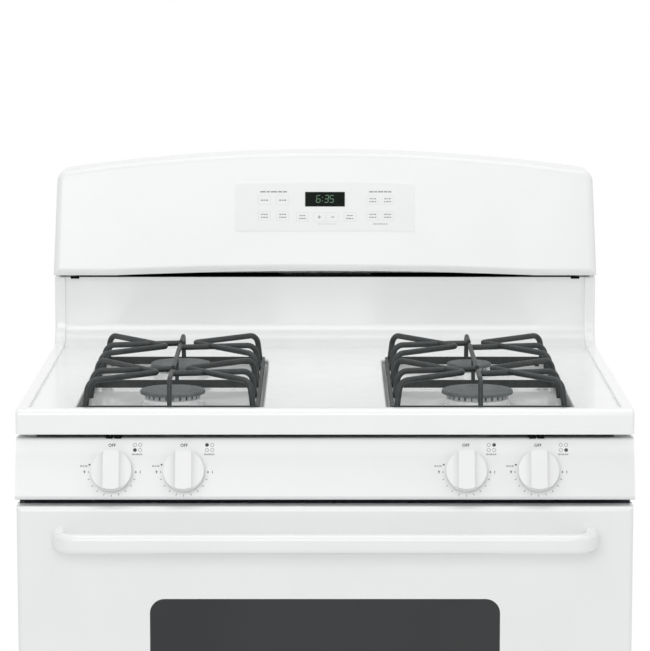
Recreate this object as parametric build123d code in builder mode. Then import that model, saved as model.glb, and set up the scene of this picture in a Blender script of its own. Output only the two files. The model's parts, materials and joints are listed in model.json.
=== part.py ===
from build123d import *

import os
from math import atan2, cos, degrees, pi, radians, sin, tan

# A freestanding gas range with four sealed burners, two wire grates, a tall arched backguard, an
# oven with a drop-down door and a storage drawer. All lengths are in millimetres. X runs to the
# right, Y to the back and Z up, and the origin is on the floor at the centre of the footprint.

# ---------------------------------------------------------------- overall size
overall_width = 759.0  # across the cooktop
overall_depth = 704.0  # door handle to the rear trim
rim_height = 920.0  # floor to the raised rim of the cooktop
handle_reach = 72.0  # cooktop nose to the front of the door handle
rear_trim = 2.0  # what stands proud of the rear panel

# ---------------------------------------------------------------- sheet metal and clearances
enamel_sheet = 1.5  # cooktop and control panel
body_sheet = 1.2  # cabinet, liner, door and drawer
shell_wall = 2.0  # backguard
flange = 20.0  # folded edges of the cabinet sheets
panel_clearance = 0.5  # between fixed painted panels
move_gap = 0.4  # between pieces that slide past each other
turn_gap = 0.05  # radial, between a turning pin and its bore
cut_over = 2.0  # how far a cutter runs past the face it opens
sheet_bend = 1.0  # outer radius of a folded sheet's corner

# ---------------------------------------------------------------- cooktop
nose_drop = 31.4
nose_radius = 8.0
rim_band = 14.5
deck_recess = 4.0
riser_height = 92.0
riser_radius = 30.0
riser_space = 53.8  # behind the riser, for the flue
well_margin = 4.0  # around a grate's foot ring
well_depth = 13.0  # below the rim
well_corner = 16.0
well_fillet = 3.5

# ---------------------------------------------------------------- grates and burners
grate_x = 192.3  # each grate's centre line from the middle
grate_setback = 27.5  # cooktop nose to a grate
grate_width = 221.0
grate_length = 411.0
grate_bar = 4.0  # thickness of the foot ring
grate_bar_height = 10.0
grate_ring_drop = 0.5  # ring's top below the rim
grate_rod = 7.6
centre_rod = 6.0
weld_bite = 1.2  # how far a rod's side runs into the ring
grate_top = 33.6  # top of the fingers above the rim
finger_leg_inset = 11.0
finger_bend = 13.0
finger_spread = 88.0  # burner centre to the outer end of a diagonal finger
finger_tip_x = 17.5
finger_tip_skew = 16.0  # tips of the V's off the burner's middle, forward on the left
finger_tip_radius = 7.0
cross_finger_skew = 20.0  # inner ends of the straight fingers, the other way
centre_finger_tip = 16.0
cross_finger_drop = 1.2  # straight fingers below the diagonal ones
finger_bridge_step = 1.0  # middle post's diameter below the other rods'
grate_foot = 6.0
burner_spacing = 226.0
cap_diameters = {"left_front": 82.0, "left_rear": 80.0, "right_front": 90.0, "right_rear": 59.0}
cap_thickness = 4.4
cap_edge = 2.0
cap_top = 5.6  # above the rim
cap_seat_gap = 0.3
head_step = 6.0  # crown's radius below the cap's
head_base_step = 1.5  # base's radius below the crown's
head_flare = 2.5
head_flare_height = 2.0
crown_height = 6.4
port_width = 2.4
port_height = 5.0
port_pitch = 8.6
port_depth = 5.0
burner_neck = 38.0
burner_neck_drop = 34.0  # below the well floor
tube_boss = 24.0  # burner centre to the end of its gas boss
electrode_diameter = 5.0
electrode_offset = 4.5  # electrode's axis outside the flare
electrode_top = 3.0  # below the rim
electrode_angle = 105.0

# ---------------------------------------------------------------- control panel, knobs and gas train
panel_gap = 5.4  # below the cooktop nose
panel_height = 73.2
panel_top_setback = 8.0
panel_bottom_proud = 20.0
panel_edge_radius = 4.5
frame_setback = 23.0  # cooktop nose to the face of the front frame
knob_xs = {"left_front": -261.4, "left_rear": -173.0, "right_rear": 173.0, "right_front": 261.4}
knob_drop = 40.0  # panel top to a knob's axis
knob_diameter = 50.5
knob_standoff = 4.2
knob_height = 16.0
knob_taper = 2.5  # degrees
knob_grip_width = 17.0
knob_grip_draft = 5.0  # outward run of the grip's sides
knob_scoop = 6.5  # how deep the sides of the grip are scooped out
knob_scoop_radius = 9.0
knob_scoop_slope = 1.5  # the scoop's fall from the grip to the rim
stem_radius = 3.0
stem_flat = 2.2
stem_reach = 12.5
stem_end_space = 4.0
plug_radius = 4.0
plug_depth = 32.0
plug_front = 8.0
panel_hole_radius = 6.0
valve_width = 22.0
valve_height = 24.0
valve_front = 12.0
valve_length = 28.0
manifold_size = 14.0
manifold_overhang = 38.0
pipe_diameter = 12.0
pipe_bend = 14.0
pipe_inset = 32.5  # pipe's axis from the outside of the cabinet
pipe_entry = 20.0  # regulator's back to the pipe's axis
burner_tube_diameter = 8.0
burner_tube_bend = 9.0
tube_start = 12.0  # straight run behind a valve
tube_end = 24.0  # straight run before a burner's boss
tube_fall = 36.0  # run in which a rear burner's tube drops to its level
tube_return = 36.0  # run in which it comes back to its burner
tube_pass = 24.0  # front burner's neck to a rear burner's tube

# ---------------------------------------------------------------- backguard
face_proud = 38.0  # face's bottom edge in front of the riser
face_bottom_mid = 104.0  # above the rim
face_bottom_end = 98.0
face_bottom_level = 86.0  # level run at each end of the lower edge
face_top_mid = 268.0
face_top_end = 241.0
face_lean = 11.2  # degrees
face_half_inset = 1.0
face_taper = 5.0
face_corner = 15.0
face_edge = 9.0
shell_foot_width = 12.0
shell_foot_setback = 30.0
keypad_bottom = 160.0
keypad_top = 224.7
keypad_arch = 2.8
keypad_width = 250.0
keypad_corner = 3.0
keypad_thickness = 0.8
display_bottom = 193.5
display_top = 213.4
display_width = 55.2
display_thickness = 1.2
display_clearance = 0.1
board_width = 230.0
board_height = 52.0
board_thickness = 1.6
board_standoff = 9.0
rear_seam = 4.0  # top of the rear panel below the riser's top
rear_panel_bottom = 205.0  # below it the back is open to the services

# ---------------------------------------------------------------- oven and its front
door_proud = 24.0  # door's face in front of the cooktop nose
door_gap = 7.0  # under the control panel
door_height = 500.0
skin_depth = 24.0
inner_depth = 12.0
door_edge_radius = 6.0
inner_edge_radius = 4.2
plug_edge = 4.0
plug_proud = 5.0  # raised field on the door's inner face
plug_inset = 14.0
window_width = 430.0
window_height = 210.0
window_sill = 175.0  # door's bottom edge to the window
window_lap = 12.0
window_corner = 18.0
glass_thickness = 4.0
handle_drop = 38.0  # door's top edge to the handle's axis
handle_half_length = 325.0
handle_height = 24.0
handle_thickness = 16.0
handle_bend = 26.0
handle_round = 7.2
pivot_depth = 17.0  # behind the door's face
pivot_rise = 20.0  # above the door's bottom edge
pivot_x = 320.0
hinge_pin_radius = 4.0
hinge_eye_radius = 8.0
hinge_arm_width = 6.0
hinge_arm_height = 12.0
hinge_side_gap = 1.5
hinge_cheek = 2.5
hinge_cheek_height = 40.0
hinge_foot_depth = 6.0
hinge_foot_rise = 18.0
oven_width = 610.0
oven_rear_space = 104.3  # oven's back wall to the rear panel
oven_sill = 55.0  # door's bottom edge to the oven's opening
oven_head = 43.0  # oven's opening to the door's top edge
opening_corner = 10.0
insulation = 25.0
gasket_inset = 4.0
gasket_width = 10.0
gasket_clearance = 0.4
gasket_round = 3.5
oven_floor_rise = 30.0
oven_floor_margin = 2.0
floor_slot_length = 30.0
floor_slot_width = 5.0
floor_slot_inset = 40.0
floor_slot_pitch = 50.0
floor_slot_count = 8
ledge_width = 20.0
rib_width = 10.0
rib_thickness = 5.0
rib_first = 82.0  # oven's bottom to the first rib's top
rib_pitch = 50.0
rib_count = 5
rib_end_gap = 25.0
rack_rest_gap = 0.3
rack_frame_rod = 6.0
rack_wire = 4.0
rack_wire_count = 13
rack_side_gap = 5.0
rack_front_gap = 12.0
rack_rear_gap = 20.0
rack_corner = 16.0
oven_burner_radius = 11.0
bake_burner_rise = 14.0
broil_burner_drop = 26.0
oven_burner_front_gap = 70.0
oven_burner_end = 3.5  # radius round the closed end
burner_bracket_width = 20.0
igniter_width = 8.0
igniter_gap = 4.0  # beside the burner
igniter_length = 40.0
igniter_height = 18.0
lamp_radius = 22.0
lamp_collar = 4.0
lamp_reach = 26.0
lamp_dome = 13.0
lamp_inset = 80.0  # oven's side to the lamp's axis
lamp_drop = 52.0
sensor_radius = 2.5
sensor_length = 130.0
sensor_inset = 70.0  # oven's side to the probe
sensor_drop = 40.0
sensor_plate = 34.0
sensor_plate_height = 20.0
duct_width = 130.0
duct_depth = 34.0
duct_start = 45.0  # oven's back wall to the duct's front
duct_step_rise = 34.0  # above the insulation

# ---------------------------------------------------------------- base, drawer and services
base_height = 45.0
base_rail = 30.0
base_rail_width = 34.0
base_wall = 2.0
leg_boss = 9.0  # radius of the boss that each leg screws into
toe_setback = 40.0
leg_inset = 34.0
leg_rear_inset = 30.0
foot_radius = 16.0
foot_thickness = 8.0
foot_edge = 2.0
leg_thread_radius = 5.0
leg_nut_height = 7.0
leg_nut_flats = 17.0
drawer_gap = 9.0  # under the door
drawer_bottom = 95.0
drawer_front_depth = 20.0
drawer_opening_margin = 10.0
drawer_side_inset = 32.0
pan_rise = 10.0
pan_height = 110.0
pan_length = 500.0
pan_side_inset = 15.0
pan_lip = 12.0
rail_leg = 24.0
rail_rear_gap = 50.0
regulator_inset = 79.5  # side of the cooktop to the inlet's axis
regulator_height = 170.0
regulator_size = 50.0
regulator_depth = 42.0
regulator_edge = 8.0
bracket_half = 16.5
inlet_radius = 9.6
inlet_depth = 15.0
inlet_wall = 5.0
ear_height = 40.0  # regulator's top to the top of its bracket
gland_inset = 79.5  # side of the cooktop to the gland's axis
gland_height = 245.0
gland_bore = 4.5
gland_radius = 11.0
gland_flange_radius = 14.0
module_width = 80.0
module_height = 40.0
module_depth = 28.0
module_inset = 164.5  # side of the cooktop to the module's middle
module_edge = 2.0
module_drop = 95.0

# ---------------------------------------------------------------- places worked out from the sizes
half_width = overall_width / 2
back_y = overall_depth / 2
regulator_x = half_width - regulator_inset
gland_x = gland_inset - half_width
module_x = module_inset - half_width
nose_y = -back_y + handle_reach
rear_face_y = back_y - rear_trim
rear_y = rear_face_y - body_sheet
riser_y = rear_y - riser_space
rim_z = rim_height
deck_z = rim_z - deck_recess
under_deck_z = deck_z - enamel_sheet
well_z = rim_z - well_depth
nose_bottom_z = rim_z - nose_drop
riser_top_z = rim_z + riser_height
half_body = half_width - enamel_sheet - panel_clearance
inner_half = half_body - body_sheet

panel_top_z = nose_bottom_z - panel_gap
panel_bottom_z = panel_top_z - panel_height
panel_top_y = nose_y + panel_top_setback
panel_bottom_y = nose_y - panel_bottom_proud
panel_run = panel_top_y - panel_bottom_y
panel_tilt = atan2(panel_run, panel_height)
knob_z = panel_top_z - knob_drop
knob_y = panel_top_y - knob_drop * tan(panel_tilt)

frame_y = nose_y + frame_setback
frame_back_y = frame_y + enamel_sheet
door_face_y = nose_y - door_proud
door_top_z = panel_bottom_z - door_gap
door_bottom_z = door_top_z - door_height
skin_back_y = door_face_y + skin_depth
door_back_y = skin_back_y + inner_depth
frame_top_z = panel_bottom_z - panel_clearance
pivot_y = door_face_y + pivot_depth
pivot_z = door_bottom_z + pivot_rise
handle_z = door_top_z - handle_drop
handle_y = -back_y + handle_thickness / 2

oven_bottom_z = door_bottom_z + oven_sill
oven_top_z = door_top_z - oven_head
oven_half = oven_width / 2
oven_back_y = rear_y - oven_rear_space
lamp_x = lamp_inset - oven_half
sensor_x = oven_half - sensor_inset
oven_floor_z = oven_bottom_z + oven_floor_rise
insulation_top_z = oven_top_z + body_sheet + insulation
insulation_bottom_z = oven_bottom_z - body_sheet - insulation
rib_tops = [oven_bottom_z + rib_first + n * rib_pitch for n in range(rib_count)]

base_top_z = base_height + base_rail
drawer_top_z = door_bottom_z - drawer_gap
drawer_back_y = door_face_y + drawer_front_depth
pan_half = inner_half - drawer_side_inset - pan_side_inset
pan_bottom_z = drawer_bottom + pan_rise
pan_top_z = pan_bottom_z + pan_height

grate_y = nose_y + grate_setback + grate_length / 2
burner_ys = {"front": grate_y - burner_spacing / 2, "rear": grate_y + burner_spacing / 2}
burner_places = {
    f"{side}_{row}": (sign * grate_x, burner_y)
    for side, sign in (("left", -1), ("right", 1))
    for row, burner_y in burner_ys.items()
}
finger_z = rim_z + grate_top - grate_rod / 2
centre_rod_z = rim_z + grate_top - centre_rod / 2
ring_z = rim_z - grate_ring_drop - grate_bar_height / 2

face_y = riser_y - face_proud
face_slope = tan(radians(face_lean))
duct_front_y = oven_back_y - duct_start - duct_depth
duct_rear_y = riser_y + (riser_space - duct_depth) / 2

knob_out = (0, -cos(panel_tilt), sin(panel_tilt))


def knob_plane(x, out=0.0):
    """The plane square to a knob's axis, standing out of the panel by a length."""
    origin = (x, knob_y + knob_out[1] * out, knob_z + knob_out[2] * out)
    return Plane(origin=origin, x_dir=(1, 0, 0), z_dir=knob_out)


def panel_frame_point(up, out):
    """Y and Z of a point above a knob's axis, along the panel, and out of it."""
    y = knob_y + up * sin(panel_tilt) - out * cos(panel_tilt)
    z = knob_z + up * cos(panel_tilt) + out * sin(panel_tilt)
    return y, z


def face_plane(height, out=0.0):
    """The plane of the backguard's leaning face at a height above the rim."""
    lean = radians(face_lean)
    y = face_y + (height - face_bottom_mid) * face_slope - out * cos(lean)
    z = rim_z + height + out * sin(lean)
    return Plane(origin=(0, y, z), x_dir=(1, 0, 0), z_dir=(0, -cos(lean), sin(lean)))


def upright(y):
    """A plane facing the front at depth y; a negative extrusion goes back."""
    return Plane.XZ.offset(-y)


def block(x, y, z, mode=Mode.ADD):
    """A box between two limits on each axis."""
    centre = tuple((low + high) / 2 for low, high in (x, y, z))
    with Locations(centre):
        Box(x[1] - x[0], y[1] - y[0], z[1] - z[0], mode=mode)


def rod(points, bends, diameter):
    """A round rod along straight runs joined by bends."""
    with BuildLine() as path:
        FilletPolyline(*points, radius=bends)
    with BuildSketch(Plane(origin=path.line @ 0, z_dir=path.line % 0)) as section:
        Circle(diameter / 2)
    sweep(section.sketch, path=path.line)


def straight_rod(start, end, diameter, mode=Mode.ADD):
    """A round rod from one point to another."""
    start, end = Vector(*start), Vector(*end)
    with BuildSketch(Plane(origin=start, z_dir=end - start)) as section:
        Circle(diameter / 2)
    extrude(section.sketch, amount=(end - start).length, mode=mode)


os.makedirs("parts", exist_ok=True)


def keep(piece, name):
    """Labels a finished piece and writes its file."""
    piece.part.label = name
    export_step(piece.part, f"parts/{name}.step")


# ================================================================ cabinet
# Side panels: a flat sheet with folded front, rear and top edges.
def make_side_panel(side):
    outer = sorted((side * half_body, side * inner_half))
    folded = sorted((side * inner_half, side * (inner_half - flange)))
    with BuildPart() as panel:
        block(outer, (frame_back_y, rear_y), (base_height, under_deck_z))
        block(folded, (frame_back_y, frame_back_y + body_sheet), (base_height, under_deck_z))
        block(folded, (rear_y - body_sheet, rear_y), (base_height, under_deck_z))
        block(folded, (frame_back_y, rear_y), (under_deck_z - body_sheet, under_deck_z))
        vertical = panel.edges().filter_by(Axis.Z).group_by(Axis.X)[0 if side < 0 else -1]
        fillet(vertical, radius=sheet_bend)
    return panel


for side, side_name in ((-1, "left"), (1, "right")):
    keep(make_side_panel(side), f"side_panel_{side_name}")

# Rear panel, open below for the gas inlet, with the hole for the cord gland.
with BuildPart() as rear_panel:
    rear_panel_z = (rear_panel_bottom, riser_top_z - rear_seam)
    block((-half_body, half_body), (rear_y, rear_face_y), rear_panel_z)
    with BuildSketch(upright(rear_y - cut_over)):
        with Locations((gland_x, gland_height)):
            Circle(gland_radius)
    extrude(amount=-(body_sheet + 2 * cut_over), mode=Mode.SUBTRACT)
    # pressed stiffening ribs
    with BuildSketch(upright(rear_face_y)):
        with Locations((0, (insulation_bottom_z + insulation_top_z) / 2)):
            with GridLocations(oven_width / 2, 0, 3, 1):
                SlotOverall(oven_width / 2, flange, rotation=90)
    extrude(amount=-body_sheet)
keep(rear_panel, "rear_panel")

# Base frame: a ring of channels open below, set back at the toe, with bosses for the four legs.
leg_rows = {
    "front": frame_back_y + toe_setback + base_rail_width / 2,
    "rear": rear_y - leg_rear_inset,
}
leg_places = {
    f"{row}_{name}": (side * (inner_half - leg_inset), leg_y)
    for row, leg_y in leg_rows.items()
    for name, side in (("left", -1), ("right", 1))
}
toe_y = frame_back_y + toe_setback
heel_y = rear_y - body_sheet


def base_outline(wall):
    """The base frame's plan, moved inward by a wall."""
    opening_half = inner_half - 2 * base_rail_width + wall
    front_y = frame_back_y + body_sheet
    opening_front = toe_y + base_rail_width - wall
    opening_rear = heel_y - 2 * base_rail_width + wall
    with BuildSketch(Plane.XY.offset(base_height)) as plan:
        with Locations((0, (front_y + heel_y) / 2)):
            Rectangle(2 * (inner_half - wall), heel_y - front_y - 2 * wall)
        with Locations((0, (opening_front + opening_rear) / 2)):
            Rectangle(2 * opening_half, opening_rear - opening_front, mode=Mode.SUBTRACT)
        with Locations((0, (front_y + toe_y) / 2)):
            Rectangle(2 * opening_half, toe_y - front_y + 2 * wall, mode=Mode.SUBTRACT)
    return plan


def leg_circles(radius):
    """A circle at each leg, at the base frame's lower edge."""
    with BuildSketch(Plane.XY.offset(base_height)) as circles:
        with Locations(*leg_places.values()):
            Circle(radius)
    return circles


with BuildPart() as base_frame:
    extrude(base_outline(0).sketch, amount=base_rail)
    extrude(base_outline(base_wall).sketch, amount=base_rail - base_wall, mode=Mode.SUBTRACT)
    extrude(leg_circles(leg_boss).sketch, amount=base_rail)
    extrude(leg_circles(leg_thread_radius + turn_gap).sketch, amount=base_rail, mode=Mode.SUBTRACT)
keep(base_frame, "base_frame")


# Levelling legs: a threaded shank with a hexagon above a round foot.
def make_leg(x, y):
    with BuildPart() as leg:
        with BuildSketch(Plane.XY):
            with Locations((x, y)):
                Circle(foot_radius)
        extrude(amount=foot_thickness)
        fillet(leg.edges().filter_by(GeomType.CIRCLE), radius=foot_edge)
        with BuildSketch(Plane.XY.offset(foot_thickness)):
            with Locations((x, y)):
                RegularPolygon(leg_nut_flats / 2, 6, major_radius=False)
        extrude(amount=leg_nut_height)
        with BuildSketch(Plane.XY.offset(foot_thickness)):
            with Locations((x, y)):
                Circle(leg_thread_radius)
        extrude(amount=base_top_z - foot_thickness - foot_edge)
    return leg


for place, (leg_x, leg_y) in leg_places.items():
    keep(make_leg(leg_x, leg_y), f"levelling_leg_{place}")

# Front frame: the flat face that carries the liner, the gasket and the hinges.
drawer_opening_half = inner_half - drawer_side_inset
with BuildPart() as front_frame:
    with BuildSketch(upright(frame_y)):
        with BuildLine():
            Polyline(
                (-half_body, base_height),
                (half_body, base_height),
                (half_body, frame_top_z),
                (-half_body, frame_top_z),
                close=True,
            )
        make_face()
        with Locations((0, (oven_bottom_z + oven_top_z) / 2)):
            opening_height = oven_top_z - oven_bottom_z
            RectangleRounded(oven_width, opening_height, opening_corner, mode=Mode.SUBTRACT)
        opening_low = base_height
        opening_high = drawer_top_z - drawer_opening_margin
        with Locations((0, (opening_low + opening_high) / 2)):
            Rectangle(2 * drawer_opening_half, opening_high - opening_low, mode=Mode.SUBTRACT)
    extrude(amount=-enamel_sheet)
keep(front_frame, "front_frame")

# ================================================================ oven
# Liner: an enamelled box open at the front, with rack ribs and ledges for the floor.
with BuildPart() as oven_liner:
    block(
        (-oven_half - body_sheet, oven_half + body_sheet),
        (frame_back_y, oven_back_y + body_sheet),
        (oven_bottom_z - body_sheet, oven_top_z + body_sheet),
    )
    with BuildSketch(upright(frame_back_y)):
        with Locations((0, (oven_bottom_z + oven_top_z) / 2)):
            RectangleRounded(oven_width, opening_height, opening_corner)
    extrude(amount=frame_back_y - oven_back_y, mode=Mode.SUBTRACT)
    rib_y = (frame_back_y + rib_end_gap, oven_back_y - rib_end_gap)
    ledge_z = (oven_floor_z - rib_thickness, oven_floor_z)
    for side in (-1, 1):
        rib_x = sorted((side * oven_half, side * (oven_half - rib_width)))
        for rib_top in rib_tops:
            block(rib_x, rib_y, (rib_top - rib_thickness, rib_top))
        ledge_x = sorted((side * oven_half, side * (oven_half - ledge_width)))
        block(ledge_x, (rib_y[0], oven_back_y), ledge_z)
    block(
        (-duct_width / 2, duct_width / 2),
        (duct_front_y, duct_front_y + duct_depth),
        (oven_top_z - cut_over, oven_top_z + body_sheet + cut_over),
        mode=Mode.SUBTRACT,
    )
keep(oven_liner, "oven_liner")

# Insulation: a fibre jacket around the liner's sides, back, top and bottom.
with BuildPart() as oven_insulation:
    block(
        (-oven_half - body_sheet - insulation, oven_half + body_sheet + insulation),
        (frame_back_y, oven_back_y + body_sheet + insulation),
        (insulation_bottom_z, insulation_top_z),
    )
    block(
        (-oven_half - body_sheet, oven_half + body_sheet),
        (frame_back_y - cut_over, oven_back_y + body_sheet),
        (oven_bottom_z - body_sheet, oven_top_z + body_sheet),
        mode=Mode.SUBTRACT,
    )
    block(
        (-duct_width / 2 - body_sheet, duct_width / 2 + body_sheet),
        (duct_front_y - body_sheet, duct_front_y + duct_depth + body_sheet),
        (oven_top_z, insulation_top_z + cut_over),
        mode=Mode.SUBTRACT,
    )
keep(oven_insulation, "oven_insulation")

# Oven floor: the lift-out plate over the bake burner, slotted along both sides.
floor_half = oven_half - oven_floor_margin
floor_y = (frame_back_y + rib_end_gap, oven_back_y - oven_floor_margin)
with BuildPart() as oven_floor:
    block((-floor_half, floor_half), floor_y, (oven_floor_z, oven_floor_z + body_sheet))
    with BuildSketch(Plane.XY.offset(oven_floor_z - cut_over)):
        with Locations((0, sum(floor_y) / 2)):
            slot_spread = 2 * (floor_half - floor_slot_inset)
            with GridLocations(slot_spread, floor_slot_pitch, 2, floor_slot_count):
                SlotOverall(floor_slot_length, floor_slot_width, rotation=90)
    extrude(amount=body_sheet + 2 * cut_over, mode=Mode.SUBTRACT)
keep(oven_floor, "oven_floor")

# Bake and broil burners: long tubes from the back wall, with ports along both sides.
bake_z = oven_bottom_z + bake_burner_rise
broil_z = oven_top_z - broil_burner_drop
oven_burner_front = frame_back_y + oven_burner_front_gap


def make_oven_burner(height, support):
    with BuildPart() as burner:
        straight_rod((0, oven_back_y, height), (0, oven_burner_front, height), 2 * oven_burner_radius)
        fillet(burner.edges().sort_by(Axis.Y)[0], radius=oven_burner_end)
        bracket_y = oven_burner_front + oven_burner_radius
        bracket_x = (-burner_bracket_width / 2, burner_bracket_width / 2)
        block(bracket_x, (bracket_y, bracket_y + body_sheet), sorted((height, support)))
    return burner


keep(make_oven_burner(bake_z, oven_bottom_z), "bake_burner")
keep(make_oven_burner(broil_z, oven_top_z), "broil_burner")

# Igniters: a glow bar in a ceramic holder beside each oven burner.
igniter_inner = oven_burner_radius + igniter_gap
igniter_x = (igniter_inner, igniter_inner + igniter_width)
igniter_y = (oven_burner_front + igniter_length, oven_burner_front + 2 * igniter_length)
with BuildPart() as oven_igniters:
    block(igniter_x, igniter_y, (oven_bottom_z, oven_bottom_z + igniter_height))
    block(igniter_x, igniter_y, (oven_top_z - igniter_height, oven_top_z))
keep(oven_igniters, "oven_igniters")


# Racks: a bent frame rod with straight wires welded across it.
rack_half = oven_half - rack_side_gap
rack_front_y = frame_back_y + rack_front_gap
rack_rear_y = oven_back_y - rack_rear_gap


def make_rack(rib_top):
    height = rib_top + rack_rest_gap + rack_frame_rod / 2
    corners = (
        (0, rack_front_y, height),
        (rack_half - rack_frame_rod / 2, rack_front_y, height),
        (rack_half - rack_frame_rod / 2, rack_rear_y, height),
        (0, rack_rear_y, height),
    )
    with BuildPart() as rack:
        rod(corners, (rack_corner, rack_corner), rack_frame_rod)
        mirror(about=Plane.YZ)
        wire_pitch = 2 * (rack_half - rack_corner - rack_frame_rod) / (rack_wire_count - 1)
        with BuildSketch(upright(rack_front_y)):
            with Locations((0, height)):
                with GridLocations(wire_pitch, 0, rack_wire_count, 1):
                    Circle(rack_wire / 2)
        extrude(amount=-(rack_rear_y - rack_front_y))
    return rack


keep(make_rack(rib_tops[0]), "oven_rack_lower")
keep(make_rack(rib_tops[-2]), "oven_rack_upper")

# Lamp: a domed cover in a round collar on the back wall.
with BuildPart() as oven_lamp:
    lamp_z = oven_top_z - lamp_drop
    with BuildSketch(upright(oven_back_y)):
        with Locations((lamp_x, lamp_z)):
            Circle(lamp_radius + lamp_collar)
    extrude(amount=lamp_collar)
    with BuildSketch(upright(oven_back_y - lamp_collar)):
        with Locations((lamp_x, lamp_z)):
            Circle(lamp_radius)
    extrude(amount=lamp_reach - lamp_collar)
    fillet(oven_lamp.edges().sort_by(Axis.Y)[0], radius=lamp_dome)
keep(oven_lamp, "oven_lamp")

# Temperature sensor: a thin probe on a small plate.
with BuildPart() as temperature_sensor:
    sensor_z = oven_top_z - sensor_drop
    plate_x = (sensor_x - sensor_plate / 2, sensor_x + sensor_plate / 2)
    plate_z = (sensor_z - sensor_plate_height / 2, sensor_z + sensor_plate_height / 2)
    block(plate_x, (oven_back_y - body_sheet, oven_back_y), plate_z)
    probe_tip = (sensor_x, oven_back_y - sensor_length, sensor_z)
    straight_rod((sensor_x, oven_back_y, sensor_z), probe_tip, 2 * sensor_radius)
keep(temperature_sensor, "temperature_sensor")

# Flue: from the oven's ceiling, back under the deck and up to the slot below the backguard.
duct_step_z = insulation_top_z + duct_step_rise
duct_exit_z = riser_top_z - enamel_sheet


def duct_profile(wall):
    """The duct's side view, grown outward by a wall."""
    return (
        (duct_front_y - wall, oven_top_z + body_sheet),
        (duct_front_y + duct_depth + wall, oven_top_z + body_sheet),
        (duct_front_y + duct_depth + wall, duct_step_z - wall),
        (duct_rear_y + duct_depth + wall, duct_step_z - wall),
        (duct_rear_y + duct_depth + wall, duct_exit_z),
        (duct_rear_y - wall, duct_exit_z),
        (duct_rear_y - wall, duct_step_z + duct_depth + wall),
        (duct_front_y - wall, duct_step_z + duct_depth + wall),
    )


with BuildPart() as flue_duct:
    with BuildSketch(Plane.YZ):
        with BuildLine():
            Polyline(*duct_profile(body_sheet), close=True)
        make_face()
    extrude(amount=duct_width / 2 + body_sheet, both=True)
    with BuildSketch(Plane.YZ):
        with BuildLine():
            Polyline(*duct_profile(0), close=True)
        make_face()
    extrude(amount=duct_width / 2, both=True, mode=Mode.SUBTRACT)
keep(flue_duct, "flue_duct")

# Gasket: a soft ring on the front frame around the oven's opening.
with BuildPart() as oven_gasket:
    gasket_depth = frame_y - door_back_y - gasket_clearance
    with BuildSketch(upright(frame_y)):
        with Locations((0, (oven_bottom_z + oven_top_z) / 2)):
            grown = 2 * (gasket_inset + gasket_width)
            RectangleRounded(oven_width + grown, opening_height + grown, opening_corner + grown / 2)
            inset = 2 * gasket_inset
            inner_corner = opening_corner + gasket_inset
            RectangleRounded(oven_width + inset, opening_height + inset, inner_corner, mode=Mode.SUBTRACT)
    extrude(amount=gasket_depth)
    fillet(oven_gasket.faces().sort_by(Axis.Y)[0].edges(), radius=gasket_round)
keep(oven_gasket, "oven_gasket")

# ================================================================ oven door
window_z = door_bottom_z + window_sill + window_height / 2


def window_plate(front, depth, lap=0.0, mode=Mode.ADD):
    """A plate of the window's rounded shape, grown by a lap, from a plane towards the back."""
    with BuildSketch(upright(front)) as outline:
        with Locations((0, window_z)):
            RectangleRounded(window_width + 2 * lap, window_height + 2 * lap, window_corner)
    extrude(outline.sketch, amount=-depth, mode=mode)


def hinge_slots(y):
    """Cuts the slots in which the hinge arms sweep as the door opens."""
    half = hinge_arm_width / 2 + hinge_side_gap
    slot_z = (door_bottom_z - cut_over, pivot_z + hinge_eye_radius + hinge_side_gap)
    for side in (-1, 1):
        slot_x = (side * pivot_x - half, side * pivot_x + half)
        block(slot_x, y, slot_z, mode=Mode.SUBTRACT)


with BuildPart() as door_panel:
    block((-half_body, half_body), (door_face_y, skin_back_y), (door_bottom_z, door_top_z))
    fillet(door_panel.faces().sort_by(Axis.Y)[0].edges(), radius=door_edge_radius)
    inner_x = (-half_body + body_sheet, half_body - body_sheet)
    inner_z = (door_bottom_z + body_sheet, door_top_z - body_sheet)
    block(inner_x, (door_face_y + door_edge_radius, skin_back_y), inner_z, mode=Mode.SUBTRACT)
    inset = door_edge_radius
    block(
        (inner_x[0] + inset, inner_x[1] - inset),
        (door_face_y + body_sheet, skin_back_y),
        (inner_z[0] + inset, inner_z[1] - inset),
        mode=Mode.SUBTRACT,
    )
    window_plate(door_face_y - cut_over, skin_depth, mode=Mode.SUBTRACT)
    hinge_slots((pivot_y - hinge_eye_radius - hinge_side_gap, skin_back_y + cut_over))
keep(door_panel, "door_panel")

with BuildPart() as door_window:
    window_plate(door_face_y + body_sheet, glass_thickness, window_lap)
keep(door_window, "door_window")

with BuildPart() as door_inner_panel:
    block((-half_body, half_body), (skin_back_y, door_back_y), (door_bottom_z, door_top_z))
    fillet(door_inner_panel.faces().sort_by(Axis.Y)[-1].edges(), radius=inner_edge_radius)
    plug_half = oven_half - plug_inset
    plug_z = (oven_bottom_z + plug_inset, oven_top_z - plug_inset)
    block((-plug_half, plug_half), (door_back_y - body_sheet, door_back_y + plug_proud), plug_z)
    fillet(door_inner_panel.faces().sort_by(Axis.Y)[-1].edges(), radius=plug_edge)
    inset = inner_edge_radius
    block(
        (-half_body + inset, half_body - inset),
        (skin_back_y, door_back_y - body_sheet),
        (door_bottom_z + inset, door_top_z - inset),
        mode=Mode.SUBTRACT,
    )
    window_plate(skin_back_y, inner_depth + plug_proud + cut_over, mode=Mode.SUBTRACT)
    hinge_slots((skin_back_y - cut_over, door_back_y + cut_over))
keep(door_inner_panel, "door_inner_panel")

with BuildPart() as door_inner_glass:
    window_plate(door_back_y - body_sheet - glass_thickness, glass_thickness, window_lap)
keep(door_inner_glass, "door_inner_glass")

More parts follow.
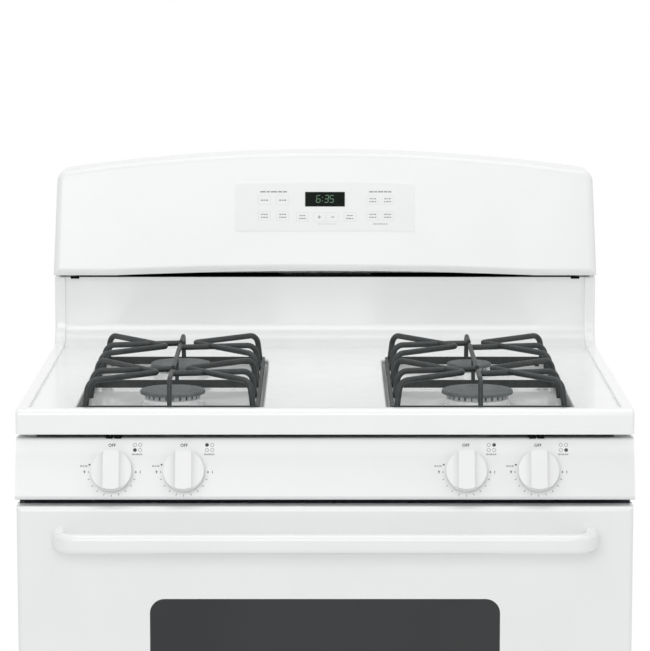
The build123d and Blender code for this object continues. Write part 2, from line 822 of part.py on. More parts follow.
# Handle: one bar whose ends turn back to the door.
with BuildPart() as door_handle:
    with BuildLine() as handle_path:
        FilletPolyline(
            (-handle_half_length, door_face_y, handle_z),
            (-handle_half_length, handle_y, handle_z),
            (handle_half_length, handle_y, handle_z),
            (handle_half_length, door_face_y, handle_z),
            radius=handle_bend,
        )
    handle_start = handle_path.line @ 0
    with BuildSketch(Plane(origin=handle_start, x_dir=(0, 0, 1), z_dir=handle_path.line % 0)):
        RectangleRounded(handle_height, handle_thickness, handle_round)
    sweep(path=handle_path.line)
keep(door_handle, "door_handle")

# Hinges: an arm with an eye on the frame, between two cheeks with a pin in the door.
with BuildPart() as hinge_receivers:
    for side in (-1, 1):
        arm_x = (side * pivot_x - hinge_arm_width / 2, side * pivot_x + hinge_arm_width / 2)
        arm_z = (pivot_z - hinge_arm_height / 2, pivot_z + hinge_arm_height / 2)
        block(arm_x, (pivot_y, frame_y), arm_z)
        block(arm_x, (frame_y - hinge_foot_depth, frame_y), (arm_z[0], pivot_z + hinge_foot_rise))
        eye_start = (arm_x[0], pivot_y, pivot_z)
        eye_end = (arm_x[1], pivot_y, pivot_z)
        straight_rod(eye_start, eye_end, 2 * hinge_eye_radius)
        straight_rod(eye_start, eye_end, 2 * (hinge_pin_radius + turn_gap), mode=Mode.SUBTRACT)
keep(hinge_receivers, "hinge_receivers")

with BuildPart() as door_hinges:
    cheek_inner = hinge_arm_width / 2 + hinge_side_gap
    cheek_y = (door_face_y + body_sheet, door_back_y - body_sheet)
    cheek_z = (door_bottom_z + door_edge_radius + body_sheet, pivot_z + hinge_cheek_height / 2)
    for side in (-1, 1):
        for cheek_side in (-1, 1):
            cheek_near = side * pivot_x + cheek_side * cheek_inner
            cheek_x = sorted((cheek_near, cheek_near + cheek_side * hinge_cheek))
            block(cheek_x, cheek_y, cheek_z)
        pin_reach = cheek_inner + hinge_cheek
        straight_rod(
            (side * pivot_x - pin_reach, pivot_y, pivot_z),
            (side * pivot_x + pin_reach, pivot_y, pivot_z),
            2 * hinge_pin_radius,
        )
keep(door_hinges, "door_hinges")

# ================================================================ storage drawer
with BuildPart() as drawer_front:
    block((-half_body, half_body), (door_face_y, drawer_back_y), (drawer_bottom, drawer_top_z))
    fillet(drawer_front.faces().sort_by(Axis.Y)[0].edges(), radius=door_edge_radius)
    inset = door_edge_radius
    block(
        (-half_body + inset, half_body - inset),
        (door_face_y + body_sheet, drawer_back_y),
        (drawer_bottom + inset, drawer_top_z - inset),
        mode=Mode.SUBTRACT,
    )
keep(drawer_front, "drawer_front")

pan_rear_y = drawer_back_y + pan_length
with BuildPart() as drawer_pan:
    inner_front_y = (drawer_back_y, drawer_back_y + body_sheet)
    block((-half_body, half_body), inner_front_y, (drawer_bottom, drawer_top_z))
    block((-pan_half, pan_half), (drawer_back_y, pan_rear_y), (pan_bottom_z, pan_top_z))
    block(
        (-pan_half + body_sheet, pan_half - body_sheet),
        (drawer_back_y + body_sheet, pan_rear_y - body_sheet),
        (pan_bottom_z + body_sheet, pan_top_z + cut_over),
        mode=Mode.SUBTRACT,
    )
    for side in (-1, 1):
        lip_x = sorted((side * pan_half, side * (pan_half + pan_lip)))
        block(lip_x, (drawer_back_y, pan_rear_y), (pan_top_z - body_sheet, pan_top_z))
keep(drawer_pan, "drawer_pan")

rail_top_z = pan_top_z - body_sheet - move_gap
with BuildPart() as drawer_rails:
    rail_y = (frame_back_y + body_sheet, rear_y - rail_rear_gap)
    for side in (-1, 1):
        shelf_x = sorted((side * inner_half, side * (pan_half + pan_lip / 2)))
        block(shelf_x, rail_y, (rail_top_z - body_sheet, rail_top_z))
        wall_x = sorted((side * inner_half, side * (inner_half - body_sheet)))
        block(wall_x, rail_y, (rail_top_z - rail_leg, rail_top_z))
keep(drawer_rails, "drawer_rails")

# ================================================================ cooktop
# The pressing's side view: a rounded nose, the deck, and a sweep up into the riser.
fold_y = riser_y - riser_radius
fold_z = deck_z + riser_radius
well_width = grate_width + 2 * well_margin
well_length = grate_length + 2 * well_margin


def well_sketch(height, grown=0.0):
    """Both wells' rounded outlines on a level plane."""
    with BuildSketch(Plane.XY.offset(height)) as outline:
        with Locations((-grate_x, grate_y), (grate_x, grate_y)):
            RectangleRounded(well_width + 2 * grown, well_length + 2 * grown, well_corner + grown)
    return outline


def level_faces(piece, height):
    """The flat level faces of a piece at a height."""
    level = piece.faces().filter_by(Axis.Z)
    return level.filter_by(lambda face: abs(face.center().Z - height) < move_gap)


with BuildPart() as cooktop:
    # outer form of the rim, nose and riser
    with BuildSketch(Plane.YZ):
        with BuildLine():
            FilletPolyline(
                (nose_y, nose_bottom_z),
                (nose_y, rim_z),
                (riser_y - deck_recess, rim_z),
                (riser_y - deck_recess, riser_top_z),
                (rear_y, riser_top_z),
                (rear_y, nose_bottom_z),
                radius=(0, nose_radius, riser_radius, 0, 0, 0),
                close=True,
            )
        make_face()
    extrude(amount=half_width, both=True)
    fillet(cooktop.edges().filter_by(Axis.Z).sort_by(Axis.Y)[:2], radius=nose_radius / 2)

    # the deck and the riser's face, lowered inside the rim
    with BuildSketch(Plane.YZ):
        with BuildLine():
            Polyline(
                (riser_y, deck_z + riser_radius),
                (riser_y, riser_top_z + cut_over),
                (nose_y + rim_band, riser_top_z + cut_over),
                (nose_y + rim_band, deck_z),
                (fold_y, deck_z),
            )
            CenterArc((fold_y, fold_z), riser_radius, -90, 90)
        make_face()
    extrude(amount=half_width - rim_band, both=True, mode=Mode.SUBTRACT)

    # the underside
    with BuildSketch(Plane.YZ):
        with BuildLine():
            lower = under_deck_z
            wall = riser_y + enamel_sheet
            Polyline(
                (wall, fold_z),
                (wall, riser_top_z - enamel_sheet),
                (rear_y + cut_over, riser_top_z - enamel_sheet),
                (rear_y + cut_over, nose_bottom_z - cut_over),
                (nose_y + enamel_sheet, nose_bottom_z - cut_over),
                (nose_y + enamel_sheet, rim_z - nose_radius),
                (nose_y + nose_radius, lower),
                (fold_y, lower),
            )
            CenterArc((fold_y, fold_z), riser_radius + enamel_sheet, -90, 90)
        make_face()
    extrude(amount=half_width - enamel_sheet, both=True, mode=Mode.SUBTRACT)

    # wells under the grates, with holes for the burners and their electrodes
    extrude(well_sketch(well_z - enamel_sheet, enamel_sheet).sketch, amount=deck_z - well_z)
    extrude(well_sketch(well_z).sketch, amount=well_depth + cut_over, mode=Mode.SUBTRACT)
    with BuildSketch(Plane.XY.offset(well_z - enamel_sheet - cut_over)):
        with Locations(*burner_places.values()):
            Circle(burner_neck / 2)
    extrude(amount=enamel_sheet + 2 * cut_over, mode=Mode.SUBTRACT)

    # the flue's outlet behind the riser
    block(
        (-duct_width / 2, duct_width / 2),
        (duct_rear_y, duct_rear_y + duct_depth),
        (riser_top_z - enamel_sheet - cut_over, riser_top_z + cut_over),
        mode=Mode.SUBTRACT,
    )
    deck = level_faces(cooktop, deck_z).sort_by(SortBy.AREA)[-1]
    fillet([edge for wire in deck.inner_wires() for edge in wire.edges()], radius=well_fillet)
    well_floors = level_faces(cooktop, well_z)
    fillet([edge for floor in well_floors for edge in floor.outer_wire().edges()], radius=well_fillet)
keep(cooktop, "cooktop")

# ================================================================ burners
# Heads: an aluminium crown with gas ports, on a base and a neck that reaches down through the well.
head_top_z = rim_z + cap_top - cap_thickness - cap_seat_gap
crown_z = head_top_z - crown_height
electrode_turn = radians(electrode_angle)
with BuildPart() as burner_heads:
    for name, (burner_x, burner_y) in burner_places.items():
        head_radius = cap_diameters[name] / 2 - head_step
        with BuildSketch(Plane.XY.offset(well_z)):
            with Locations((burner_x, burner_y)):
                Circle(head_radius + head_flare)
        extrude(amount=head_flare_height)
        with BuildSketch(Plane.XY.offset(well_z)):
            with Locations((burner_x, burner_y)):
                Circle(head_radius - head_base_step)
        extrude(amount=crown_z - well_z)
        with BuildSketch(Plane.XY.offset(crown_z)):
            with Locations((burner_x, burner_y)):
                Circle(head_radius)
        extrude(amount=crown_height)
        port_count = int(2 * pi * head_radius / port_pitch)
        with Locations((burner_x, burner_y, head_top_z - port_height / 2)):
            with PolarLocations(head_radius, port_count):
                Box(2 * port_depth, port_width, port_height, mode=Mode.SUBTRACT)
        with BuildSketch(Plane.XY.offset(well_z)):
            with Locations((burner_x, burner_y)):
                Circle(burner_neck / 2)
        extrude(amount=-burner_neck_drop)
        boss_z = well_z - burner_neck_drop + burner_tube_diameter
        boss_x = (burner_x - burner_tube_diameter, burner_x + burner_tube_diameter)
        boss_limits_z = (boss_z - burner_tube_diameter, boss_z + burner_tube_diameter)
        block(boss_x, (burner_y - tube_boss, burner_y), boss_limits_z)
keep(burner_heads, "burner_heads")


def make_cap(name):
    burner_x, burner_y = burner_places[name]
    with BuildPart() as cap:
        with BuildSketch(Plane.XY.offset(rim_z + cap_top - cap_thickness)):
            with Locations((burner_x, burner_y)):
                Circle(cap_diameters[name] / 2)
        extrude(amount=cap_thickness)
        fillet(cap.edges().sort_by(Axis.Z)[-1], radius=cap_edge)
    return cap


for burner in burner_places:
    keep(make_cap(burner), f"burner_cap_{burner}")

# Spark electrodes: a ceramic pin beside each head, set in the well's floor.
with BuildPart() as spark_electrodes:
    for name, (burner_x, burner_y) in burner_places.items():
        reach = cap_diameters[name] / 2 - head_step + head_flare + electrode_offset
        place = (burner_x + reach * cos(electrode_turn), burner_y + reach * sin(electrode_turn))
        with BuildSketch(Plane.XY.offset(well_z)):
            with Locations(place):
                Circle(electrode_diameter / 2)
        extrude(amount=well_depth - electrode_top)
keep(spark_electrodes, "spark_electrodes")


# ================================================================ grates
# Each grate is a ring of flat bar with a cross bar, standing on four feet, and bent round rods
# welded to it. Over each burner a V-shaped finger and a straight one come in from each side; the
# straight ones end on a rod that runs along the middle.
def make_grate(middle_x):
    shoulder = grate_width / 2 - finger_leg_inset
    rail_x = (grate_width - grate_bar) / 2
    rail_y = (grate_length - grate_bar) / 2
    finger_foot_x = rail_x - (grate_bar + grate_rod) / 2 + weld_bite
    centre_foot_y = rail_y - (grate_bar + centre_rod) / 2 + weld_bite
    low_finger_z = finger_z - cross_finger_drop
    foot_low = well_z + cap_seat_gap
    with BuildPart() as grate:
        with BuildSketch(Plane.XY.offset(ring_z - grate_bar_height / 2)):
            with Locations((middle_x, grate_y)):
                RectangleRounded(grate_width, grate_length, grate_bar * 2)
                Rectangle(2 * rail_x - grate_bar, 2 * rail_y - grate_bar, mode=Mode.SUBTRACT)
                Rectangle(2 * rail_x, grate_bar)
        extrude(amount=grate_bar_height)
        with BuildSketch(Plane.XY.offset(foot_low)):
            with Locations((middle_x, grate_y)):
                with GridLocations(2 * rail_x - 4 * grate_foot, 2 * rail_y - grate_foot / 2, 2, 2):
                    Circle(grate_foot / 2)
        extrude(amount=ring_z - foot_low)
        for burner_y in burner_ys.values():
            near, far = burner_y - finger_spread, burner_y + finger_spread
            for side in (-1, 1):
                foot_x = middle_x + side * finger_foot_x
                shoulder_x = middle_x + side * shoulder
                tip_y = burner_y + side * finger_tip_skew
                cross_end_y = burner_y - side * cross_finger_skew
                rod(
                    (
                        (foot_x, near, ring_z),
                        (shoulder_x, near, finger_z),
                        (middle_x + side * finger_tip_x, tip_y, finger_z),
                        (shoulder_x, far, finger_z),
                        (foot_x, far, ring_z),
                    ),
                    (finger_bend, finger_tip_radius, finger_bend),
                    grate_rod,
                )
                rod(
                    (
                        (foot_x, burner_y, ring_z),
                        (shoulder_x, burner_y, low_finger_z),
                        (middle_x, cross_end_y, low_finger_z),
                    ),
                    finger_bend,
                    grate_rod,
                )
        for end, burner_y in ((-1, burner_ys["front"]), (1, burner_ys["rear"])):
            rod(
                (
                    (middle_x, grate_y + end * centre_foot_y, ring_z),
                    (middle_x, grate_y + end * (rail_y - finger_leg_inset), centre_rod_z),
                    (middle_x, burner_y + end * centre_finger_tip, centre_rod_z),
                ),
                finger_bend,
                centre_rod,
            )
        bridge_half = burner_spacing / 2 - centre_finger_tip
        bridge_front = (middle_x, grate_y - bridge_half, centre_rod_z)
        bridge_rear = (middle_x, grate_y + bridge_half, centre_rod_z)
        straight_rod(bridge_front, bridge_rear, centre_rod)
        post_top = (middle_x, grate_y, centre_rod_z)
        straight_rod((middle_x, grate_y, ring_z), post_top, centre_rod - finger_bridge_step)
    return grate


for side, side_name in ((-1, "left"), (1, "right")):
    keep(make_grate(side * grate_x), f"grate_{side_name}")

# ================================================================ control panel and gas train
def panel_outline(inset):
    """Side view of the control panel, moved inward by a wall and open at the back."""
    rear = frame_back_y + (cut_over if inset else 0)
    slant = inset / cos(panel_tilt)
    shift = inset * tan(panel_tilt)
    return (
        (panel_top_y + slant - shift, panel_top_z - inset),
        (panel_bottom_y + slant + shift, panel_bottom_z + inset),
        (rear, panel_bottom_z + inset),
        (rear, panel_top_z - inset),
    )


with BuildPart() as control_panel:
    with BuildSketch(Plane.YZ):
        with BuildLine():
            outer_radii = (panel_edge_radius, panel_edge_radius, 0, 0)
            FilletPolyline(*panel_outline(0), radius=outer_radii, close=True)
        make_face()
    extrude(amount=half_width, both=True)
    with BuildSketch(Plane.YZ):
        with BuildLine():
            inner_radius = panel_edge_radius - enamel_sheet
            inner_radii = (inner_radius, inner_radius, 0, 0)
            FilletPolyline(*panel_outline(enamel_sheet), radius=inner_radii, close=True)
        make_face()
    extrude(amount=half_width - enamel_sheet, both=True, mode=Mode.SUBTRACT)
    for knob_x in knob_xs.values():
        with BuildSketch(knob_plane(knob_x, -2 * enamel_sheet)):
            Circle(panel_hole_radius)
        extrude(amount=4 * enamel_sheet, mode=Mode.SUBTRACT)
keep(control_panel, "control_panel")

# Valves: a brass body behind each knob, clamped under the manifold.
with BuildPart() as surface_valves:
    for knob_x in knob_xs.values():
        with BuildSketch(knob_plane(knob_x, -valve_front)):
            Rectangle(valve_width, valve_height)
        extrude(amount=-valve_length)
        with BuildSketch(knob_plane(knob_x, -valve_front)):
            Circle(panel_hole_radius)
        extrude(amount=valve_front - plug_front)
        with BuildSketch(knob_plane(knob_x, -plug_front + cut_over)):
            Circle(plug_radius + turn_gap)
        extrude(amount=-(plug_depth - plug_front + cut_over), mode=Mode.SUBTRACT)
keep(surface_valves, "surface_valves")

# Manifold: a square tube above the valves, fed by a round pipe from the regulator at the back.
manifold_up = (valve_height + manifold_size) / 2
manifold_y, manifold_z = panel_frame_point(manifold_up, -valve_front - valve_length / 2)
pipe_x = half_body - pipe_inset
manifold_half = knob_xs["right_front"] + manifold_overhang
pipe_rear_y = rear_y - regulator_depth + pipe_entry
regulator_rear_y = rear_y - inlet_depth
regulator_side_x = regulator_x + regulator_size / 2
with BuildPart() as manifold_pipe:
    with BuildSketch(Plane.YZ):
        with Locations((manifold_y, manifold_z)):
            Rectangle(manifold_size, manifold_size, rotation=-degrees(panel_tilt))
    extrude(amount=manifold_half, both=True)
    rod(
        (
            (manifold_half - manifold_size, manifold_y, manifold_z),
            (pipe_x, manifold_y, manifold_z),
            (pipe_x, pipe_rear_y, manifold_z),
            (pipe_x, pipe_rear_y, regulator_height),
            (regulator_side_x, pipe_rear_y, regulator_height),
        ),
        (pipe_bend, pipe_bend, pipe_bend),
        pipe_diameter,
    )
keep(manifold_pipe, "manifold_pipe")

# Regulator: its threaded inlet faces the back in the open space under the rear panel.
with BuildPart() as gas_regulator:
    body_x = (regulator_x - regulator_size / 2, regulator_side_x)
    body_y = (rear_y - regulator_depth - inlet_depth / 2, regulator_rear_y)
    body_top = regulator_height + regulator_size / 2
    block(body_x, body_y, (body_top - regulator_size, body_top))
    fillet(gas_regulator.edges().filter_by(Axis.Y), radius=regulator_edge)
    bracket_z = (body_top - 2 * body_sheet, body_top)
    bracket_x = (regulator_x - bracket_half, regulator_x + bracket_half)
    block(bracket_x, (body_y[0] + bracket_half, rear_y - body_sheet), bracket_z)
    block(bracket_x, (rear_y - body_sheet, rear_y), (bracket_z[0], body_top + ear_height))
    straight_rod(
        (regulator_x, regulator_rear_y - inlet_depth / 2, regulator_height),
        (regulator_x, rear_y, regulator_height),
        2 * (inlet_radius + inlet_wall),
    )
    straight_rod(
        (regulator_x, rear_y - inlet_depth, regulator_height),
        (regulator_x, rear_y + cut_over, regulator_height),
        2 * inlet_radius,
        mode=Mode.SUBTRACT,
    )
keep(gas_regulator, "gas_regulator")

# Burner tubes: from each valve's rear to its burner's boss, the rear ones past the front burners.
def make_tube_route(name):
    """The run of one burner tube, from its valve to its burner."""
    knob_x = knob_xs[name]
    burner_x, burner_y = burner_places[name]
    start_y, start_z = panel_frame_point(0, -valve_front - valve_length + burner_tube_diameter / 2)
    end_y = burner_y - tube_boss
    end_z = well_z - burner_neck_drop + burner_tube_diameter
    level_y = start_y + tube_start
    route = [(knob_x, start_y, start_z), (knob_x, level_y, start_z)]
    if name.endswith("rear"):
        inward = 1 if burner_x < 0 else -1
        pass_x = burner_x + inward * (burner_neck / 2 + tube_pass)
        route += [(pass_x, level_y + tube_fall, end_z), (pass_x, end_y - tube_end - tube_return, end_z)]
    route += [(burner_x, end_y - tube_end, end_z), (burner_x, end_y, end_z)]
    return route


with BuildPart() as burner_tubes:
    for name in burner_places:
        rod(make_tube_route(name), burner_tube_bend, burner_tube_diameter)
keep(burner_tubes, "burner_tubes")


# Valve stems: a plug that turns in the valve, and a stem with a flat for the knob.
def stem_section(radius, flat):
    """A round section with one flat side."""
    Circle(radius)
    with Locations((0, flat + radius)):
        Rectangle(2 * radius, 2 * radius, mode=Mode.SUBTRACT)


def make_stem(knob_x):
    with BuildPart() as stem:
        with BuildSketch(knob_plane(knob_x, -plug_depth + move_gap)):
            Circle(plug_radius)
        extrude(amount=plug_depth - plug_front - move_gap)
        with BuildSketch(knob_plane(knob_x, -plug_front)) as section:
            stem_section(stem_radius, stem_flat)
        extrude(section.sketch, amount=plug_front + stem_reach)
    return stem


# Knobs: a round tapered skirt with a bar across it to grip.
def make_knob(knob_x):
    knob_radius = knob_diameter / 2
    with BuildPart() as knob:
        with BuildSketch(knob_plane(knob_x, knob_standoff)):
            Circle(knob_radius)
        extrude(amount=knob_height, taper=knob_taper)
        scoop_floor = knob_height - knob_scoop
        low_point = (knob_x, *panel_frame_point(-knob_radius - cut_over, knob_standoff))
        along_panel = (0, sin(panel_tilt), cos(panel_tilt))
        side_view = Plane(origin=low_point, x_dir=(1, 0, 0), z_dir=along_panel)
        for side in (-1, 1):
            with BuildSketch(side_view):
                with BuildLine():
                    FilletPolyline(
                        (side * knob_grip_width / 2, -knob_height - cut_over),
                        (side * (knob_grip_width / 2 + knob_grip_draft), -scoop_floor),
                        (side * (knob_radius + cut_over), knob_scoop_slope - scoop_floor),
                        (side * (knob_radius + cut_over), -knob_height - cut_over),
                        radius=(0, knob_scoop_radius, 0, 0),
                        close=True,
                    )
                make_face()
            extrude(amount=knob_diameter + 2 * cut_over, mode=Mode.SUBTRACT)
        with BuildSketch(knob_plane(knob_x, knob_standoff)) as bore:
            stem_section(stem_radius + turn_gap, stem_flat + turn_gap)
        extrude(bore.sketch, amount=stem_reach - knob_standoff + stem_end_space, mode=Mode.SUBTRACT)
    return knob


for name, knob_x in knob_xs.items():
    keep(make_stem(knob_x), f"valve_stem_{name}")
    keep(make_knob(knob_x), f"knob_{name}")

# Spark module: the ignition box under the deck, on the rear panel.
with BuildPart() as spark_module:
    module_top_z = rim_z - module_drop
    block(
        (module_x - module_width / 2, module_x + module_width / 2),
        (rear_y - module_depth, rear_y),
        (module_top_z - module_height, module_top_z),
    )
    fillet(spark_module.edges().filter_by(Axis.Y), radius=module_edge)
keep(spark_module, "spark_module")

# ================================================================ backguard
def backguard_form(wall):
    """The backguard's outer form, or its hollow when a wall is given."""
    front_y = face_y - cut_over
    low_end, low_mid = rim_z + face_bottom_end + wall, rim_z + face_bottom_mid + wall
    top_end, top_mid = rim_z + face_top_end - wall, rim_z + face_top_mid - wall
    foot = half_width - face_half_inset - wall
    head = half_width - face_half_inset - face_taper - wall
    corner = face_corner - wall
    with BuildPart() as form:
        with BuildSketch(upright(front_y)):
            with BuildLine():
                Line((-foot, low_end), (face_bottom_level - foot, low_end))
                ThreePointArc(
                    (face_bottom_level - foot, low_end), (0, low_mid), (foot - face_bottom_level, low_end)
                )
                Line((foot - face_bottom_level, low_end), (foot, low_end))
                Line((foot, low_end), (head, top_end))
                ThreePointArc((head, top_end), (0, top_mid), (-head, top_end))
                Line((-head, top_end), (-foot, low_end))
            make_face()
        extrude(amount=-(rear_y - front_y + (cut_over if wall else 0)))
        top_corners = form.edges().filter_by(Axis.Y).group_by(Axis.Z)[-1]
        fillet(top_corners, radius=corner)
        split(bisect_by=face_plane(face_bottom_mid, -wall), keep=Keep.BOTTOM)
        fillet(form.faces().sort_by(Axis.Y)[0].edges(), radius=face_edge - wall)
    return form


outer_form = backguard_form(0)
hollow_form = backguard_form(shell_wall)
with BuildPart() as backguard_shell:
    add(outer_form.part)
    add(hollow_form.part, mode=Mode.SUBTRACT)
    # feet at both ends that stand on the cooktop's rear ledge
    for side in (-1, 1):
        foot_edge_x = half_width - rim_band
        foot_x = sorted((side * foot_edge_x, side * (foot_edge_x - shell_foot_width)))
        foot_z = (riser_top_z, rim_z + face_bottom_mid + shell_wall)
        block(foot_x, (riser_y + shell_foot_setback / 2, rear_y), foot_z)
keep(backguard_shell, "backguard_shell")

# Keypad: a thin overlay on the face, with a window for the display.
keypad_mid = (keypad_bottom + keypad_top) / 2
display_mid = (display_bottom + display_top) / 2
lean_cos = cos(radians(face_lean))
display_rise = (display_mid - keypad_mid) / lean_cos
display_height = (display_top - display_bottom) / lean_cos
with BuildPart() as keypad_panel:
    half_key = (keypad_top - keypad_bottom) / 2 / lean_cos
    with BuildSketch(face_plane(keypad_mid)):
        with BuildLine():
            keypad_crown = (0, half_key + keypad_arch)
            ThreePointArc((-keypad_width / 2, half_key), keypad_crown, (keypad_width / 2, half_key))
            Polyline(
                (keypad_width / 2, half_key),
                (keypad_width / 2, -half_key),
                (-keypad_width / 2, -half_key),
                (-keypad_width / 2, half_key),
            )
        make_face()
        with Locations((0, display_rise)):
            grown = 2 * display_clearance
            Rectangle(display_width + grown, display_height + grown, mode=Mode.SUBTRACT)
    extrude(amount=keypad_thickness)
    corners = keypad_panel.edges().filter_by(lambda edge: edge.length < 2 * keypad_thickness)
    fillet(corners.filter_by(lambda edge: abs(edge.center().X) > display_width), radius=keypad_corner)
keep(keypad_panel, "keypad_panel")

with BuildPart() as display_lens:
    with BuildSketch(face_plane(keypad_mid)):
        with Locations((0, display_rise)):
            Rectangle(display_width, display_height)
    extrude(amount=display_thickness)
    fillet(display_lens.faces().sort_by(Axis.Y)[0].edges(), radius=display_thickness / 3)
keep(display_lens, "display_lens")

# Control board: the oven's controller on four posts behind the face.
with BuildPart() as control_board:
    with BuildSketch(face_plane(keypad_mid, -shell_wall - board_standoff)):
        Rectangle(board_width, board_height)
    extrude(amount=-board_thickness)
    with BuildSketch(face_plane(keypad_mid, -shell_wall)):
        with GridLocations(board_width - 2 * board_standoff, board_height - 2 * board_standoff, 2, 2):
            Circle(board_standoff / 3)
    extrude(amount=-board_standoff)
    with BuildSketch(face_plane(keypad_mid, -shell_wall - board_standoff - board_thickness)):
        with Locations((board_width / 4, 0)):
            Rectangle(board_height / 2, board_height / 2)
        with Locations((-board_width / 4, 0)):
            Rectangle(board_height, board_height / 3)
    extrude(amount=-board_standoff)
keep(control_board, "control_board")

# Rear cover: closes the back of the backguard above the rear panel.
with BuildPart() as backguard_rear_cover:
    cover_low = riser_top_z - rear_seam + panel_clearance
    cover_foot = half_width - face_half_inset - shell_wall
    cover_head = cover_foot - face_taper
    cover_shoulder = rim_z + face_top_end - shell_wall
    cover_crown = rim_z + face_top_mid - shell_wall
    with BuildSketch(upright(rear_y)) as cover_outline:
        with BuildLine():
            Polyline(
                (-cover_head, cover_shoulder),
                (-cover_foot, rim_z + face_bottom_end),
                (-cover_foot, cover_low),
                (cover_foot, cover_low),
                (cover_foot, rim_z + face_bottom_end),
                (cover_head, cover_shoulder),
            )
            ThreePointArc((cover_head, cover_shoulder), (0, cover_crown), (-cover_head, cover_shoulder))
        make_face()
        fillet(cover_outline.vertices().group_by(Axis.Y)[-1], radius=face_corner - shell_wall)
    extrude(amount=-body_sheet)
keep(backguard_rear_cover, "backguard_rear_cover")

# Cord gland: the flanged bush through which a power cord enters.
with BuildPart() as power_cord_gland:
    with BuildSketch(upright(rear_face_y)):
        with Locations((gland_x, gland_height)):
            Circle(gland_flange_radius)
    extrude(amount=-rear_trim)
    with BuildSketch(upright(rear_y - gland_radius / 2)):
        with Locations((gland_x, gland_height)):
            Circle(gland_radius)
    extrude(amount=-(gland_radius / 2 + body_sheet))
    with BuildSketch(upright(rear_y - gland_radius)):
        with Locations((gland_x, gland_height)):
            Circle(gland_bore)
    extrude(amount=-(2 * gland_radius + rear_trim), mode=Mode.SUBTRACT)
keep(power_cord_gland, "power_cord_gland")
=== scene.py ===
import json
import math

import bmesh
import bpy
from mathutils import Matrix, Vector


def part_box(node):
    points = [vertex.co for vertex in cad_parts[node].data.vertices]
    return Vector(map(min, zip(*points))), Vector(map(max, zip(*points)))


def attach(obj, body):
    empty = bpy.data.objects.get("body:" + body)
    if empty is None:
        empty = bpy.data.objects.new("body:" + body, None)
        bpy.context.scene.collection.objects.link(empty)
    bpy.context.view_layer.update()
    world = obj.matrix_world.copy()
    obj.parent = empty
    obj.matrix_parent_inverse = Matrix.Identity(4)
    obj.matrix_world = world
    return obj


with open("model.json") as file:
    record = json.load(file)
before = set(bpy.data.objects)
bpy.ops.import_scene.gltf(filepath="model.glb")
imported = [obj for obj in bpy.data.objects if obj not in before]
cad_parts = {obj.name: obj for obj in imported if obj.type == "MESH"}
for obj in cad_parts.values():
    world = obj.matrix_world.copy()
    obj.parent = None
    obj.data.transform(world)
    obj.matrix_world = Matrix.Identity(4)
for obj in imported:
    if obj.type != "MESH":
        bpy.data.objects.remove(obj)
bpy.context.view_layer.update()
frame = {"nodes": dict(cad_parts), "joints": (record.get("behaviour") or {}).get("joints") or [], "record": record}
record = frame["record"]
joints = {joint["name"]: joint for joint in frame["joints"]}
CORNERS = ("left_front", "left_rear", "right_rear", "right_front")


